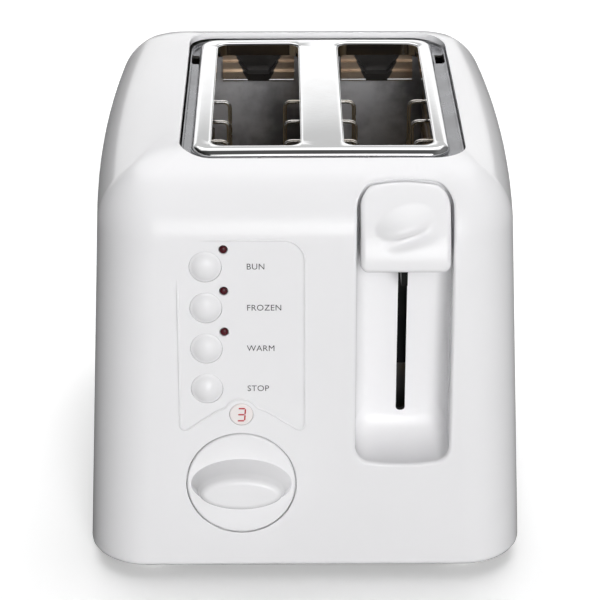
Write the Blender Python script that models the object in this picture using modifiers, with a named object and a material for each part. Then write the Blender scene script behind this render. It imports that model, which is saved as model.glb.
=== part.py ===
"""Two-slice pop-up toaster: moulded housing, chassis, heating elements, carriage, controls and crumb tray.

Metres, +Z up. The controls face -Y, and the crumb tray pulls out of the back, towards +Y. The origin is on the
table, under the middle of the whole toaster's box. Every piece is placed from the housing's own centre, which
the empty "toaster" holds a little behind the origin, because the knob stands out further than the tray's handle.
"""

import math

import bmesh
import bpy
from mathutils import Matrix, Vector

# Overall sizes of the housing
LENGTH = 0.237  # front face to back face, at the base
WIDTH = 0.195  # at the widest place, half way along
HEIGHT = 0.184  # from the table
WALL = 0.0025
FOOT_HEIGHT = 0.005
GAP = 0.0003  # between pieces that rest on each other
SLIDE = 0.0006  # between a moving piece and its guide

# Form of the housing
FACE_LEAN = math.radians(3.5)  # the front and back faces lean in towards the top
SIDE_LEAN = math.radians(2.75)
SIDE_BULGE = 0.0050  # how far each side swells at its middle
CORNER_RADIUS = 0.024
BASE_ROUND = 0.003
SHOULDER_SIDE = 0.033  # how far the rounded shoulder reaches in from a side
SHOULDER_END = 0.043
SHOULDER_HEIGHT = 0.030
SMALLEST_CORNER = 0.011
CORNER_STEPS = 6
SIDE_STEPS = 4
SHOULDER_STEPS = 6

# Bread slots, and the chamber that they open into
CHAMBER_X = 0.0075  # the chamber stands right of the middle, and the boards fill the wider bay left of it
CHAMBER_Y = -0.0018
SLOT_LENGTH = 0.1318
SLOT_WIDTH = 0.0382
SLOT_WEB = 0.0182  # metal between the two slots
SLOT_CORNER = 0.006
SLOT_PITCH = SLOT_WIDTH + SLOT_WEB
SHEET = 0.0010

# Bezel: a metal tray in the top opening, with a raised panel round the slots
PANEL_MARGIN = 0.0067
PANEL_DROP = 0.0017  # below the top of the housing
PANEL_RISE = 0.0040  # above the tray's floor
PANEL_CORNER = 0.010
VENT_WIDTH = 0.0050
BEZEL_MARGIN_SIDE = 0.0060
BEZEL_MARGIN_FRONT = 0.0085
BEZEL_MARGIN_BACK = 0.0055
BEZEL_CORNER = 0.014
SLOT_FLANGE = 0.0040

# Chassis
PLATE_CLEARANCE = 0.0072  # slot end to chassis plate
CHASSIS_FLOOR = 0.0195  # under the plates, above the tray
ELEMENT_OFFSET = 0.0038  # outer slot edge to the middle of an outer board
SHIELD_OFFSET = 0.0082  # outer slot edge to the inside of a heat shield
SHIELD_FLANGE = 0.0038
MICA = 0.0010
RIBBON_RADIUS = 0.0005
RIBBON_TURNS = 9
GUARD_WIRE = 0.0008  # radius
GUARD_REACH = 0.0066  # slot edge to the guard's wires
GUARD_PIVOT_Z = 0.031
GUARD_SPREAD = (-0.0557, -0.0292, -0.0027, 0.0238, 0.0476, 0.0600)  # wires, from the chamber's middle

# Carriage and lever
LEVER_X = 0.0410
LEVER_TRAVEL = 0.063
LEVER_WIDTH = 0.0356
LEVER_TOP_DROP = 0.0085  # top of the lever below the top of the housing
LEVER_HEIGHT = 0.0320
RECESS_CLEARANCE = 0.0028
RECESS_DEPTH = 0.0245  # at the front face's foot
RECESS_FLOOR_Z = 0.054
RECESS_CORNER = 0.006
ARM_THICK = 0.0026
ARM_HEIGHT = 0.010
TONGUE = 0.016  # how far the arm's tongue runs up inside the lever
LEVER_SLOT_WIDTH = 0.0039
RACK_Z = 0.096  # top of a bread rack, popped up
RACK_REACH = 0.0080
ROD_RADIUS = 0.0025
ROD_BESIDE = 0.0104  # from the outside of the lever's recess to the rod's axis
BUSH_RADIUS = 0.0055
BUSH_LENGTH = 0.024
SPRING_RADIUS = 0.0034
SPRING_WIRE = 0.0004
SPRING_TURNS = 11
MAGNET_WIDTH = 0.022
MAGNET_HEIGHT = 0.024
MAGNET_CLEAR = 0.0035  # from the bracket's path to the magnet's core

# Controls on the front face
BUTTON_RADIUS = 0.00665
BUTTON_X = -0.0415
BUTTON_TOP_DROP = 0.0398  # top button's centre below the top of the housing
BUTTON_PITCH = 0.0182
BUTTON_DOME = 0.0018
BUTTON_TRAVEL = 0.0015
LED_RADIUS = 0.0016
LED_SHIFT = (0.0075, 0.0075)  # from its button's centre
DISPLAY_RADIUS = 0.0050
DISPLAY_X = -0.0272
KNOB_RADIUS = 0.0232
KNOB_X = -0.0275
KNOB_Z = 0.0453
KNOB_RIDGE = 0.0115  # height of the knob's grip
GRIP_WIDTH = 0.80  # half the grip's length and height, as shares of the knob's radius
GRIP_HEIGHT = 0.38
GRIP_TAPER = 0.76
KNOB_WELL = 0.0030
DISPLAY_ABOVE_KNOB = 0.0323
SHAFT_RADIUS = 0.0030
SHAFT_PLAY = 0.0020
BOARD = 0.0016
BOARD_DEPTH = 0.0095  # control board behind the inside of the front face
SWITCH = 0.0060

# Base, crumb tray and cord inlet
BASE_THICK = 0.0030
FOOT_RADIUS = 0.011
TRAY_HEIGHT = 0.0080
TRAY_LIFT = 0.0012  # tray's floor above the base
TRAY_TRAVEL = 0.165
TRAY_INSET = 0.0035  # each side of the tray, from the edge of the raised panel above it
HANDLE_WIDTH = 0.076
HANDLE_HEIGHT = 0.015
HANDLE_DEPTH = 0.0065
SCREW_HEAD = 0.0032
BOSS_RADIUS = 0.0045
BOSS_TOP = 0.030
CORD_HOLE = 0.0060
CORD_BORE = 0.0036
CORD_X = -0.062

# Places worked out from the sizes above
HALF_LENGTH = LENGTH / 2
HALF_WIDTH = WIDTH / 2
PANEL_TOP = HEIGHT - PANEL_DROP
TRAY_FLOOR_TOP = PANEL_TOP - PANEL_RISE
CHASSIS_TOP = TRAY_FLOOR_TOP - 0.0055
CHAMBER_HALF_X = SLOT_PITCH / 2 + SLOT_WIDTH / 2
PANEL_HALF_X = CHAMBER_HALF_X + PANEL_MARGIN
PANEL_HALF_Y = SLOT_LENGTH / 2 + PANEL_MARGIN
PLATE_FRONT_Y = CHAMBER_Y - SLOT_LENGTH / 2 - PLATE_CLEARANCE  # inner face of the front plate
PLATE_BACK_Y = CHAMBER_Y + SLOT_LENGTH / 2 + PLATE_CLEARANCE
RECESS_Y = -HALF_LENGTH + RECESS_DEPTH  # back wall of the lever's recess
BRACKET_Y = PLATE_FRONT_Y - SHEET - 0.0055  # back of the carriage bracket
BRACKET_FRONT_Y = BRACKET_Y - SHEET
LEVER_TOP = HEIGHT - LEVER_TOP_DROP
LEVER_BOTTOM = LEVER_TOP - LEVER_HEIGHT
ARM_Z = LEVER_BOTTOM - 0.0095
RECESS_HALF = LEVER_WIDTH / 2 + RECESS_CLEARANCE
BASE_TOP = FOOT_HEIGHT + GAP + BASE_THICK
TRAY_HALF = PANEL_HALF_X - TRAY_INSET
GRIP_FACE = KNOB_RADIUS * (GRIP_HEIGHT - (1 - GRIP_TAPER) * GRIP_WIDTH)  # half the height of the grip's flat front
KNOB_FRONT = KNOB_RIDGE * math.cos(FACE_LEAN) + GRIP_FACE * math.sin(FACE_LEAN)
KNOB_OUT = KNOB_FRONT - (KNOB_Z - FOOT_HEIGHT) * math.tan(FACE_LEAN)  # past the front face's foot
HANDLE_OUT = HANDLE_DEPTH + 2 * GAP
BODY_SHIFT = (KNOB_OUT - HANDLE_OUT) / 2

WHITE = (0.83, 0.83, 0.82)
PALETTE = {  # colour, roughness, metallic
    "white_plastic": (WHITE, 0.25, 0.0),
    "white_base": ((0.72, 0.72, 0.71), 0.5, 0.0),
    "foot_plastic": ((0.62, 0.62, 0.61), 0.6, 0.0),
    "chrome": ((0.75, 0.76, 0.78), 0.15, 1.0),
    "aluminised_steel": ((0.45, 0.45, 0.46), 0.45, 1.0),
    "bright_wire": ((0.70, 0.68, 0.64), 0.3, 1.0),
    "mica": ((0.34, 0.27, 0.18), 0.7, 0.0),
    "nichrome": ((0.30, 0.28, 0.27), 0.5, 1.0),
    "circuit_board": ((0.05, 0.20, 0.09), 0.5, 0.0),
    "black_plastic": ((0.03, 0.03, 0.03), 0.5, 0.0),
    "red_lens": ((0.20, 0.01, 0.02), 0.2, 0.0),
    "clear_lens": ((0.80, 0.80, 0.80), 0.1, 0.0),
    "copper": ((0.60, 0.28, 0.15), 0.4, 1.0),
}


def clear_scene():
    for found in list(bpy.data.objects):
        bpy.data.objects.remove(found, do_unlink=True)


def new_collection(name):
    made = bpy.data.collections.new(name)
    bpy.context.scene.collection.children.link(made)
    return made


def material_of(finish, name):
    colour, roughness, metallic = PALETTE[finish]
    made = bpy.data.materials.new(f"{name}_{finish}")
    made.use_nodes = True
    shader = made.node_tree.nodes["Principled BSDF"]
    shader.inputs["Base Color"].default_value = (*colour, 1.0)
    shader.inputs["Roughness"].default_value = roughness
    shader.inputs["Metallic"].default_value = metallic
    return made


def empty(name, location=(0, 0, 0), rotation=(0, 0, 0), parent=None):
    made = bpy.data.objects.new(name, None)
    PARTS.objects.link(made)
    made.location, made.rotation_euler, made.parent = location, rotation, parent
    return made


def piece(name, data, finish, parent=None, location=(0, 0, 0), rotation=(0, 0, 0)):
    """One part of the toaster, in its own finish, placed in its parent's frame."""
    made = bpy.data.objects.new(name, data)
    PARTS.objects.link(made)
    made.location, made.rotation_euler = location, rotation
    made.parent = parent or TOASTER
    data.materials.append(material_of(finish, name))
    return made


def helper(name, data, parent=None, location=(0, 0, 0), rotation=(0, 0, 0)):
    """A shape that cuts or joins a part, and isn't one itself."""
    made = bpy.data.objects.new(name, data)
    CUTTERS.objects.link(made)
    made.location, made.rotation_euler = location, rotation
    made.parent = parent or TOASTER
    made.hide_render = True
    made.display_type = "WIRE"
    return made


def boolean(obj, other, operation):
    modifier = obj.modifiers.new(other.name, "BOOLEAN")
    modifier.operation, modifier.solver, modifier.object = operation, "EXACT", other
    return obj


def cut(obj, other):
    return boolean(obj, other, "DIFFERENCE")


def join(obj, other):
    return boolean(obj, other, "UNION")


def mesh_from(build, name):
    made = bmesh.new()
    build(made)
    bmesh.ops.recalc_face_normals(made, faces=made.faces)
    data = bpy.data.meshes.new(name)
    made.to_mesh(data)
    made.free()
    return data


def box(x, y, z, name="box"):
    """A box between the two values of each of x, y and z."""

    def build(made):
        size = Matrix.Diagonal((x[1] - x[0], y[1] - y[0], z[1] - z[0], 1))
        centre = Matrix.Translation((sum(x) / 2, sum(y) / 2, sum(z) / 2))
        bmesh.ops.create_cube(made, size=1, matrix=centre @ size)

    return mesh_from(build, name)


def disc(radius, low, high, segments=24, centre=(0, 0), name="disc"):
    """A cylinder along Z."""

    def build(made):
        place = Matrix.Translation((centre[0], centre[1], (low + high) / 2))
        bmesh.ops.create_cone(
            made, cap_ends=True, segments=segments, radius1=radius, radius2=radius, depth=high - low, matrix=place
        )

    return mesh_from(build, name)


def rounded(half_x, half_y, radius, steps=4, centre=(0, 0)):
    """Outline of a rectangle with round corners, anticlockwise."""
    outline = []
    for start, sx, sy in ((0, 1, 1), (90, -1, 1), (180, -1, -1), (270, 1, -1)):
        for i in range(steps + 1):
            angle = math.radians(start + 90 * i / steps)
            outline.append(
                (
                    centre[0] + sx * (half_x - radius) + radius * math.cos(angle),
                    centre[1] + sy * (half_y - radius) + radius * math.sin(angle),
                )
            )
    return outline


def plate(outline, low, high, name="plate"):
    """A flat outline filled and thickened from low to high along Z, as a mesh."""
    curve = bpy.data.curves.new(name, "CURVE")
    curve.dimensions, curve.fill_mode = "2D", "BOTH"
    curve.extrude = (high - low) / 2
    spline = curve.splines.new("POLY")
    spline.points.add(len(outline) - 1)
    for point, (x, y) in zip(spline.points, outline):
        point.co = (x, y, 0, 1)
    spline.use_cyclic_u = True
    data = mesh_of_curve(curve, name)
    data.transform(Matrix.Translation((0, 0, (low + high) / 2)))
    return data


def tube(points, radius, name="tube", sides=2):
    """A wire or rod along the points, as a curve with filled caps."""
    curve = bpy.data.curves.new(name, "CURVE")
    curve.dimensions = "3D"
    curve.bevel_depth, curve.bevel_resolution, curve.use_fill_caps = radius, sides, True
    spline = curve.splines.new("POLY")
    spline.points.add(len(points) - 1)
    for point, place in zip(spline.points, points):
        point.co = (*place, 1)
    return curve


def mesh_of_curve(curve, name):
    """The curve's solid as a mesh whose caps are welded, for a Boolean or a Bevel."""
    holder = bpy.data.objects.new(name, curve)
    bpy.context.scene.collection.objects.link(holder)
    graph = bpy.context.evaluated_depsgraph_get()
    data = bpy.data.meshes.new_from_object(holder.evaluated_get(graph))
    bpy.data.objects.remove(holder)
    made = bmesh.new()
    made.from_mesh(data)
    bmesh.ops.remove_doubles(made, verts=made.verts, dist=1e-6)
    bmesh.ops.recalc_face_normals(made, faces=made.faces)
    made.to_mesh(data)
    made.free()
    return data


def turned(profile, segments=24, name="turned"):
    """A closed profile of (radius, height) pairs, from the axis down the outside and back, turned about Z."""
    data = bpy.data.meshes.new(name)
    data.from_pydata([(r, 0, z) for r, z in profile], [(i, i + 1) for i in range(len(profile) - 1)], [])
    holder = bpy.data.objects.new(name, data)
    bpy.context.scene.collection.objects.link(holder)
    screw = holder.modifiers.new("turn", "SCREW")
    screw.steps = screw.render_steps = segments
    screw.use_merge_vertices, screw.merge_threshold = True, 1e-5
    graph = bpy.context.evaluated_depsgraph_get()
    turned_mesh = bpy.data.meshes.new_from_object(holder.evaluated_get(graph))
    bpy.data.objects.remove(holder)
    made = bmesh.new()
    made.from_mesh(turned_mesh)
    bmesh.ops.remove_doubles(made, verts=made.verts, dist=1e-6)
    bmesh.ops.recalc_face_normals(made, faces=made.faces)
    made.to_mesh(turned_mesh)
    made.free()
    return turned_mesh


def soften(obj, width, segments=2, angle=40):
    bevel = obj.modifiers.new("edges", "BEVEL")
    bevel.width, bevel.segments, bevel.limit_method = width, segments, "ANGLE"
    bevel.angle_limit = math.radians(angle)
    return obj


def smooth(obj, angle=35):
    obj.data.shade_smooth()
    obj.data.set_sharp_from_angle(angle=math.radians(angle))
    return obj


# ---------------------------------------------------------------- housing


def body_ring(z, inset_x, inset_y, shrink):
    """The housing's outline at height z, drawn in from its base size, with shrink for the inside of the wall."""
    rise = min(z, HEIGHT - SHOULDER_HEIGHT) - FOOT_HEIGHT
    half_x = HALF_WIDTH - SIDE_BULGE - rise * math.tan(SIDE_LEAN) - inset_x - shrink
    half_y = HALF_LENGTH - rise * math.tan(FACE_LEAN) - inset_y - shrink
    radius = max(CORNER_RADIUS - min(inset_x, inset_y), SMALLEST_CORNER) - shrink
    ring = []
    for corner, (sx, sy) in enumerate(((1, 1), (-1, 1), (-1, -1), (1, -1))):
        for i in range(CORNER_STEPS + 1):
            angle = math.pi / 2 * (corner + i / CORNER_STEPS)
            x = sx * (half_x - radius) + radius * math.cos(angle)
            y = sy * (half_y - radius) + radius * math.sin(angle)
            ring.append([x, y])
        if corner in (1, 3):  # points along the bulging side
            end = sy * (half_y - radius)
            ring += [[sx * half_x, end * (1 - 2 * i / SIDE_STEPS)] for i in range(1, SIDE_STEPS)]
    return [(x * (1 + SIDE_BULGE / half_x * (1 - (y / half_y) ** 2)), y, z) for x, y in ring]


def body_levels(shrink):
    """Rings from the base round to the top. The inside of the wall runs on below the base, which leaves it open."""
    rings = []
    for turn in (0, 45, 90):
        inset = BASE_ROUND * (1 - math.sin(math.radians(turn)))
        height = FOOT_HEIGHT + BASE_ROUND * (1 - math.cos(math.radians(turn)))
        rings.append(body_ring(height, inset, inset, shrink))
    if shrink:
        rings.insert(0, [(x, y, 0) for x, y, z in rings[0]])
    foot = FOOT_HEIGHT + BASE_ROUND
    shoulder = HEIGHT - SHOULDER_HEIGHT
    rings += [body_ring(foot + (shoulder - foot) * share, 0, 0, shrink) for share in (0.5, 1)]
    for i in range(1, SHOULDER_STEPS + 1):
        turn = math.pi / 2 * i / SHOULDER_STEPS
        drawn_in = 1 - math.cos(turn)
        height = shoulder + (SHOULDER_HEIGHT - shrink) * math.sin(turn)
        rings.append(body_ring(height, SHOULDER_SIDE * drawn_in, SHOULDER_END * drawn_in, shrink))
    return rings


def loft(rings, name="loft"):
    """A solid through rings that have the same number of points, closed at both ends."""

    def build(made):
        rows = [[made.verts.new(point) for point in ring] for ring in rings]
        count = len(rows[0])
        for low, high in zip(rows, rows[1:]):
            for i in range(count):
                made.faces.new((low[i], low[(i + 1) % count], high[(i + 1) % count], high[i]))
        made.faces.new(rows[0][::-1])
        made.faces.new(rows[-1])

    return mesh_from(build, name)


def face_y(z):
    """Y of the flat front face at height z."""
    return -HALF_LENGTH + (z - FOOT_HEIGHT) * math.tan(FACE_LEAN)


def face_height(z):
    """Distance up the leaning front face, from its foot, of a point at height z."""
    return (z - FOOT_HEIGHT) / math.cos(FACE_LEAN)


def upright(data):
    """Turns a plate drawn as (x, z) so that its thickness runs along Y."""
    data.transform(Matrix(((1, 0, 0, 0), (0, 0, 1, 0), (0, 1, 0, 0), (0, 0, 0, 1))))
    data.flip_normals()
    return data


def sideways(data):
    """Turns a plate drawn as (y, z) so that its thickness runs along X."""
    data.transform(Matrix(((0, 0, 1, 0), (1, 0, 0, 0), (0, 1, 0, 0), (0, 0, 0, 1))))
    return data


def housing_cavity():
    """The space inside the wall, less the blocks that stay solid: the lever's recess, knob's well and screw bosses."""
    cavity = helper("housing_cavity", loft(body_levels(WALL), "housing_cavity"))
    side = RECESS_HALF + WALL
    x, y = (LEVER_X - side, LEVER_X + side), (-HALF_LENGTH - 0.02, RECESS_Y + WALL)
    cut(cavity, helper("recess_block", box(x, y, (RECESS_FLOOR_Z - WALL, HEIGHT + 0.01))))
    well = disc(KNOB_RADIUS + WALL, -KNOB_WELL - WALL, 0.02, 40)
    cut(cavity, helper("knob_well_block", well, FRONT, (KNOB_X, face_height(KNOB_Z), 0)))
    for i, (x, y) in enumerate(screw_places()):
        low = BASE_TOP + GAP
        cut(cavity, helper(f"boss_{i}", disc(BOSS_RADIUS, low, BOSS_TOP, 12, (x, y))))
        web = box(sorted((x, x + math.copysign(0.04, x))), (y - 0.001, y + 0.001), (low, BOSS_TOP - 0.0005))
        cut(cavity, helper(f"boss_web_{i}", web))
    return cavity


def housing():
    shell = piece("housing", loft(body_levels(0), "housing"), "white_plastic")
    cut(shell, housing_cavity())

    # The lever's recess, open at the top, and the slot in its back wall
    middle, half_height = (RECESS_FLOOR_Z + HEIGHT + 0.03) / 2, (HEIGHT + 0.03 - RECESS_FLOOR_Z) / 2
    view = rounded(RECESS_HALF, half_height, RECESS_CORNER, 5, (LEVER_X, middle))
    cut(shell, helper("recess_cut", upright(plate(view, -HALF_LENGTH - 0.03, RECESS_Y))))
    low, high = ARM_Z - LEVER_TRAVEL - 0.002, ARM_Z + ARM_HEIGHT + GAP  # the slot's top end stops the carriage
    half = LEVER_SLOT_WIDTH / 2
    slot = box((LEVER_X - half, LEVER_X + half), (RECESS_Y - 0.002, RECESS_Y + 0.01), (low, high))
    cut(shell, helper("lever_slot_cut", slot))

    # The knob's well, and the holes for the shaft, the buttons, the lamps and the display
    knob_place = (KNOB_X, face_height(KNOB_Z), 0)
    well = disc(KNOB_RADIUS + SLIDE, -KNOB_WELL, 0.01, 40)
    cut(shell, helper("knob_well_cut", well, FRONT, knob_place))
    through = (-0.012, 0.010)
    cut(shell, helper("shaft_cut", disc(SHAFT_RADIUS + SHAFT_PLAY, *through, 20), FRONT, knob_place))
    for i, place in enumerate(button_places()):
        cut(shell, helper(f"button_cut_{i}", disc(BUTTON_RADIUS + GAP, *through, 20), FRONT, place))
        if i < 3:
            cut(shell, helper(f"led_cut_{i}", disc(LED_RADIUS + GAP, *through, 12), FRONT, led_place(place)))
    cut(shell, helper("display_cut", disc(DISPLAY_RADIUS + GAP, *through, 20), FRONT, display_place()))

    # Top opening, crumb tray doorway, cord hole and the screws' pilot holes
    opening = plate(bezel_outline(GAP), HEIGHT - 0.03, HEIGHT + 0.01)
    cut(shell, helper("top_opening_cut", opening, None, bezel_centre()))
    door = TRAY_HALF + SLIDE
    x, y = (CHAMBER_X - door, CHAMBER_X + door), (HALF_LENGTH - 0.02, HALF_LENGTH + 0.01)
    z = (BASE_TOP + TRAY_LIFT - SLIDE, BASE_TOP + TRAY_LIFT + TRAY_HEIGHT + SLIDE)
    cut(shell, helper("tray_doorway_cut", box(x, y, z)))
    cord = disc(CORD_HOLE + GAP, -0.012, 0.012, 20)
    cut(shell, helper("cord_hole_cut", cord, None, cord_place(), (math.pi / 2, 0, 0)))
    for i, (x, y) in enumerate(screw_places()):
        cut(shell, helper(f"pilot_{i}", disc(0.0016, 0, 0.022, 10, (x, y))))
    return smooth(shell)


def base_plate():
    """Flat plastic base that closes the housing from below, with runners for the crumb tray."""
    ring = body_ring(FOOT_HEIGHT, BASE_ROUND, BASE_ROUND, WALL + GAP)
    outline = [(x, y) for x, y, z in ring]
    low = FOOT_HEIGHT + GAP
    base = piece("base_plate", plate(outline, low, BASE_TOP), "white_base")
    runner_x = PANEL_HALF_X - 0.008
    for side in (-1, 1):
        x = CHAMBER_X + side * runner_x
        y = (PLATE_FRONT_Y + 0.006, HALF_LENGTH - 0.012)
        runner = box((x - 0.0015, x + 0.0015), y, (low + 0.001, BASE_TOP + TRAY_LIFT - GAP))
        join(base, helper(f"runner_{side}", runner))
    for i in range(6):
        y = CHAMBER_Y + (i - 2.5) * 0.020
        vent = box((CHAMBER_X - 0.036, CHAMBER_X + 0.036), (y - 0.002, y + 0.002), (0, 0.02))
        cut(base, helper(f"base_vent_{i}", vent))
    for i, (x, y) in enumerate(screw_places()):
        cut(base, helper(f"base_screw_hole_{i}", disc(0.0021, 0, 0.02, 12, (x, y))))
        cut(base, helper(f"base_counterbore_{i}", disc(SCREW_HEAD + 0.0004, 0, FOOT_HEIGHT + 0.0018, 12, (x, y))))
    return base


def foot_places():
    x, y = HALF_WIDTH - 0.030, HALF_LENGTH - 0.022
    return {"front_left": (-x, -y), "front_right": (x, -y), "back_left": (-x, y), "back_right": (x, y)}


def feet():
    for name, (x, y) in foot_places().items():
        profile = [(0, FOOT_HEIGHT), (FOOT_RADIUS, FOOT_HEIGHT), (FOOT_RADIUS - 0.001, 0.001)]
        profile += [(FOOT_RADIUS - 0.002, 0), (0, 0)]
        smooth(piece(f"{name}_foot", turned(profile, 24), "foot_plastic", None, (x, y, 0)))


def screw_places():
    x, y = HALF_WIDTH - 0.0145, HALF_LENGTH - 0.040
    return [(sx * x, sy * y) for sx, sy in ((-1, -1), (1, -1), (-1, 1), (1, 1))]


def base_screws():
    names = ("front_left", "front_right", "back_left", "back_right")
    for name, (x, y) in zip(names, screw_places()):
        head_top = FOOT_HEIGHT + 0.0018 - GAP
        profile = [(0, 0.020), (0.0010, 0.020), (0.00130, 0.018), (0.00130, head_top)]
        profile += [(SCREW_HEAD, head_top), (SCREW_HEAD, head_top - 0.0008), (0.0018, head_top - 0.0016)]
        profile += [(0, head_top - 0.0016)]
        smooth(piece(f"{name}_base_screw", turned(profile, 12), "aluminised_steel", None, (x, y, 0)))


# ---------------------------------------------------------------- bezel and chamber


def bezel_centre():
    return (CHAMBER_X, CHAMBER_Y + (BEZEL_MARGIN_BACK - BEZEL_MARGIN_FRONT) / 2, 0)


def bezel_outline(grow):
    half_x = PANEL_HALF_X + BEZEL_MARGIN_SIDE + grow
    half_y = PANEL_HALF_Y + (BEZEL_MARGIN_FRONT + BEZEL_MARGIN_BACK) / 2 + grow
    return rounded(half_x, half_y, BEZEL_CORNER + grow, 5)


def slot_x(side):
    return CHAMBER_X + side * SLOT_PITCH / 2


def top_bezel():
    """A pressed tray. Its floor carries the raised panel, whose two slots have turned-down lips."""
    floor = TRAY_FLOOR_TOP
    bezel = piece("top_bezel", plate(bezel_outline(0), floor - SHEET, floor), "chrome", None, bezel_centre())
    middle = (CHAMBER_X, CHAMBER_Y, 0)
    panel = rounded(PANEL_HALF_X, PANEL_HALF_Y, PANEL_CORNER, 5)
    inside = rounded(PANEL_HALF_X - SHEET, PANEL_HALF_Y - SHEET, PANEL_CORNER - SHEET, 5)
    join(bezel, helper("panel_block", plate(panel, floor - SHEET, PANEL_TOP), None, middle))
    cut(bezel, helper("panel_hollow", plate(inside, floor - 0.01, PANEL_TOP - SHEET), None, middle))
    for side in (-1, 1):
        place = (slot_x(side), CHAMBER_Y, 0)
        lip = rounded(SLOT_WIDTH / 2 + SHEET, SLOT_LENGTH / 2 + SHEET, SLOT_CORNER + SHEET, 4)
        hole = rounded(SLOT_WIDTH / 2, SLOT_LENGTH / 2, SLOT_CORNER, 4)
        low = PANEL_TOP - SHEET - SLOT_FLANGE
        join(bezel, helper(f"slot_lip_{side}", plate(lip, low, PANEL_TOP - SHEET / 2), None, place))
        cut(bezel, helper(f"slot_hole_{side}", plate(hole, low - 0.01, HEIGHT + 0.01), None, place))
        vent_x = side * (PANEL_HALF_X + BEZEL_MARGIN_SIDE / 2)
        vent = box(
            (vent_x - VENT_WIDTH / 2, vent_x + VENT_WIDTH / 2),
            (-PANEL_HALF_Y + 0.004, PANEL_HALF_Y - 0.022),
            (floor - 0.01, floor + 0.01),
        )
        cut(bezel, helper(f"side_vent_{side}", vent, None, middle))
    return bezel


def chassis_plate(name, inner_y, outwards, low):
    """An upright plate across one end of the chamber, with slots for the racks and holes for the guards' pivots."""
    half = CHAMBER_HALF_X + SHIELD_OFFSET + SHEET
    y = sorted((inner_y, inner_y + outwards * SHEET))
    sheet = piece(name, box((CHAMBER_X - half, CHAMBER_X + half), y, (low, CHASSIS_TOP)), "aluminised_steel")
    reach = (inner_y - 0.004, inner_y + 0.004)
    for side in (-1, 1):
        x = slot_x(side)
        rack_slot = box((x - 0.0020, x + 0.0020), reach, (RACK_Z - LEVER_TRAVEL - 0.0150, RACK_Z + 0.006))
        cut(sheet, helper(f"{name}_rack_slot_{side}", rack_slot))
        for guard_side in (-1, 1):
            pivot = disc(GUARD_WIRE + 0.0006, -0.004, 0.004, 10)
            place = (x + guard_side * guard_offset(), inner_y, GUARD_PIVOT_Z)
            cut(sheet, helper(f"{name}_pivot_{side}_{guard_side}", pivot, None, place, (math.pi / 2, 0, 0)))
    return sheet


def rod_place():
    return (LEVER_X - RECESS_HALF - WALL - ROD_BESIDE, BRACKET_FRONT_Y - GAP - BUSH_RADIUS)


def chassis():
    front = chassis_plate("chassis_front_plate", PLATE_FRONT_Y, -1, BASE_TOP + GAP)
    chassis_plate("chassis_rear_plate", PLATE_BACK_Y, 1, CHASSIS_FLOOR)
    rod_x, rod_y = rod_place()
    for name, z, reach in (("top", CHASSIS_TOP - 0.004, 0.024), ("foot", BASE_TOP + 0.004, 0.0085)):
        ear = box((rod_x - reach, rod_x + 0.0085), (rod_y - 0.0055, PLATE_FRONT_Y - SHEET / 2), (z, z + 0.0012))
        join(front, helper(f"rod_ear_{name}", ear))
    hole = disc(ROD_RADIUS + GAP, 0, HEIGHT, 16, (rod_x, rod_y))
    cut(front, helper("rod_holes", hole))
    rod = [(0, CHASSIS_TOP), (0.0042, CHASSIS_TOP), (0.0042, CHASSIS_TOP - 0.0025), (ROD_RADIUS, CHASSIS_TOP - 0.0025)]
    rod += [(ROD_RADIUS, BASE_TOP + GAP), (0, BASE_TOP + GAP)]
    smooth(piece("guide_rod", turned(rod, 16), "bright_wire", None, (rod_x, rod_y, 0)))
    top = CHASSIS_TOP - 0.001
    for name, side in (("left", -1), ("right", 1)):
        near = side * (CHAMBER_HALF_X + SHIELD_OFFSET)
        web, far = near + side * SHEET, near + side * SHIELD_FLANGE
        low = BASE_TOP + GAP
        section = [(near, low), (web, low), (web, top - SHEET), (far, top - SHEET), (far, top), (near, top)]
        data = upright(plate(section, PLATE_FRONT_Y + GAP, PLATE_BACK_Y - GAP))
        piece(f"{name}_heat_shield", data, "aluminised_steel", None, (CHAMBER_X, 0, 0))


def element_outline():
    """Side view of a mica board as (y, z): full length in two strips, and shorter between them for the windings."""
    front, back = PLATE_FRONT_Y + GAP, PLATE_BACK_Y - GAP
    low, high = CHASSIS_FLOOR + 0.0125, CHASSIS_TOP - 0.004
    notch = 0.0035
    strip = 0.006
    return [
        (front, low),
        (back, low),
        (back, low + strip),
        (back - notch, low + strip),
        (back - notch, high - strip),
        (back, high - strip),
        (back, high),
        (front, high),
        (front, high - strip),
        (front + notch, high - strip),
        (front + notch, low + strip),
        (front, low + strip),
    ]


def heating_element(name, x):
    """A mica board, and the nichrome wire wound round its notched length."""
    outline = element_outline()
    board = plate(outline, -MICA / 2, MICA / 2)
    piece(f"{name}_mica_board", sideways(board), "mica", None, (x, 0, 0))
    front, back = outline[10][0], outline[3][0]
    low, high = outline[3][1] + 0.006, outline[4][1] - 0.006
    side = MICA / 2 + GAP + RIBBON_RADIUS
    turn = 0.0012  # how far each turn passes the board's end
    points = []
    for i in range(RIBBON_TURNS):
        z = low + (high - low) * i / (RIBBON_TURNS - 0.5)
        half_step = (high - low) / (RIBBON_TURNS - 0.5) / 2
        points += [(side, front - turn, z), (side, back + turn, z)]
        points += [(-side, back + turn, z + half_step * 0.3), (-side, front - turn, z + half_step)]
    points.append((-side, front - turn, high + 0.001))
    piece(f"{name}_heating_wire", tube(points, RIBBON_RADIUS, sides=1), "nichrome", None, (x, 0, 0))


def elements():
    outer = CHAMBER_HALF_X + ELEMENT_OFFSET
    for name, x in (("left", -outer), ("centre", 0), ("right", outer)):
        heating_element(name, CHAMBER_X + x)


def guard_offset():
    """How far each guard's wires stand from the middle of their slot."""
    return SLOT_WIDTH / 2 - GUARD_REACH


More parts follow.
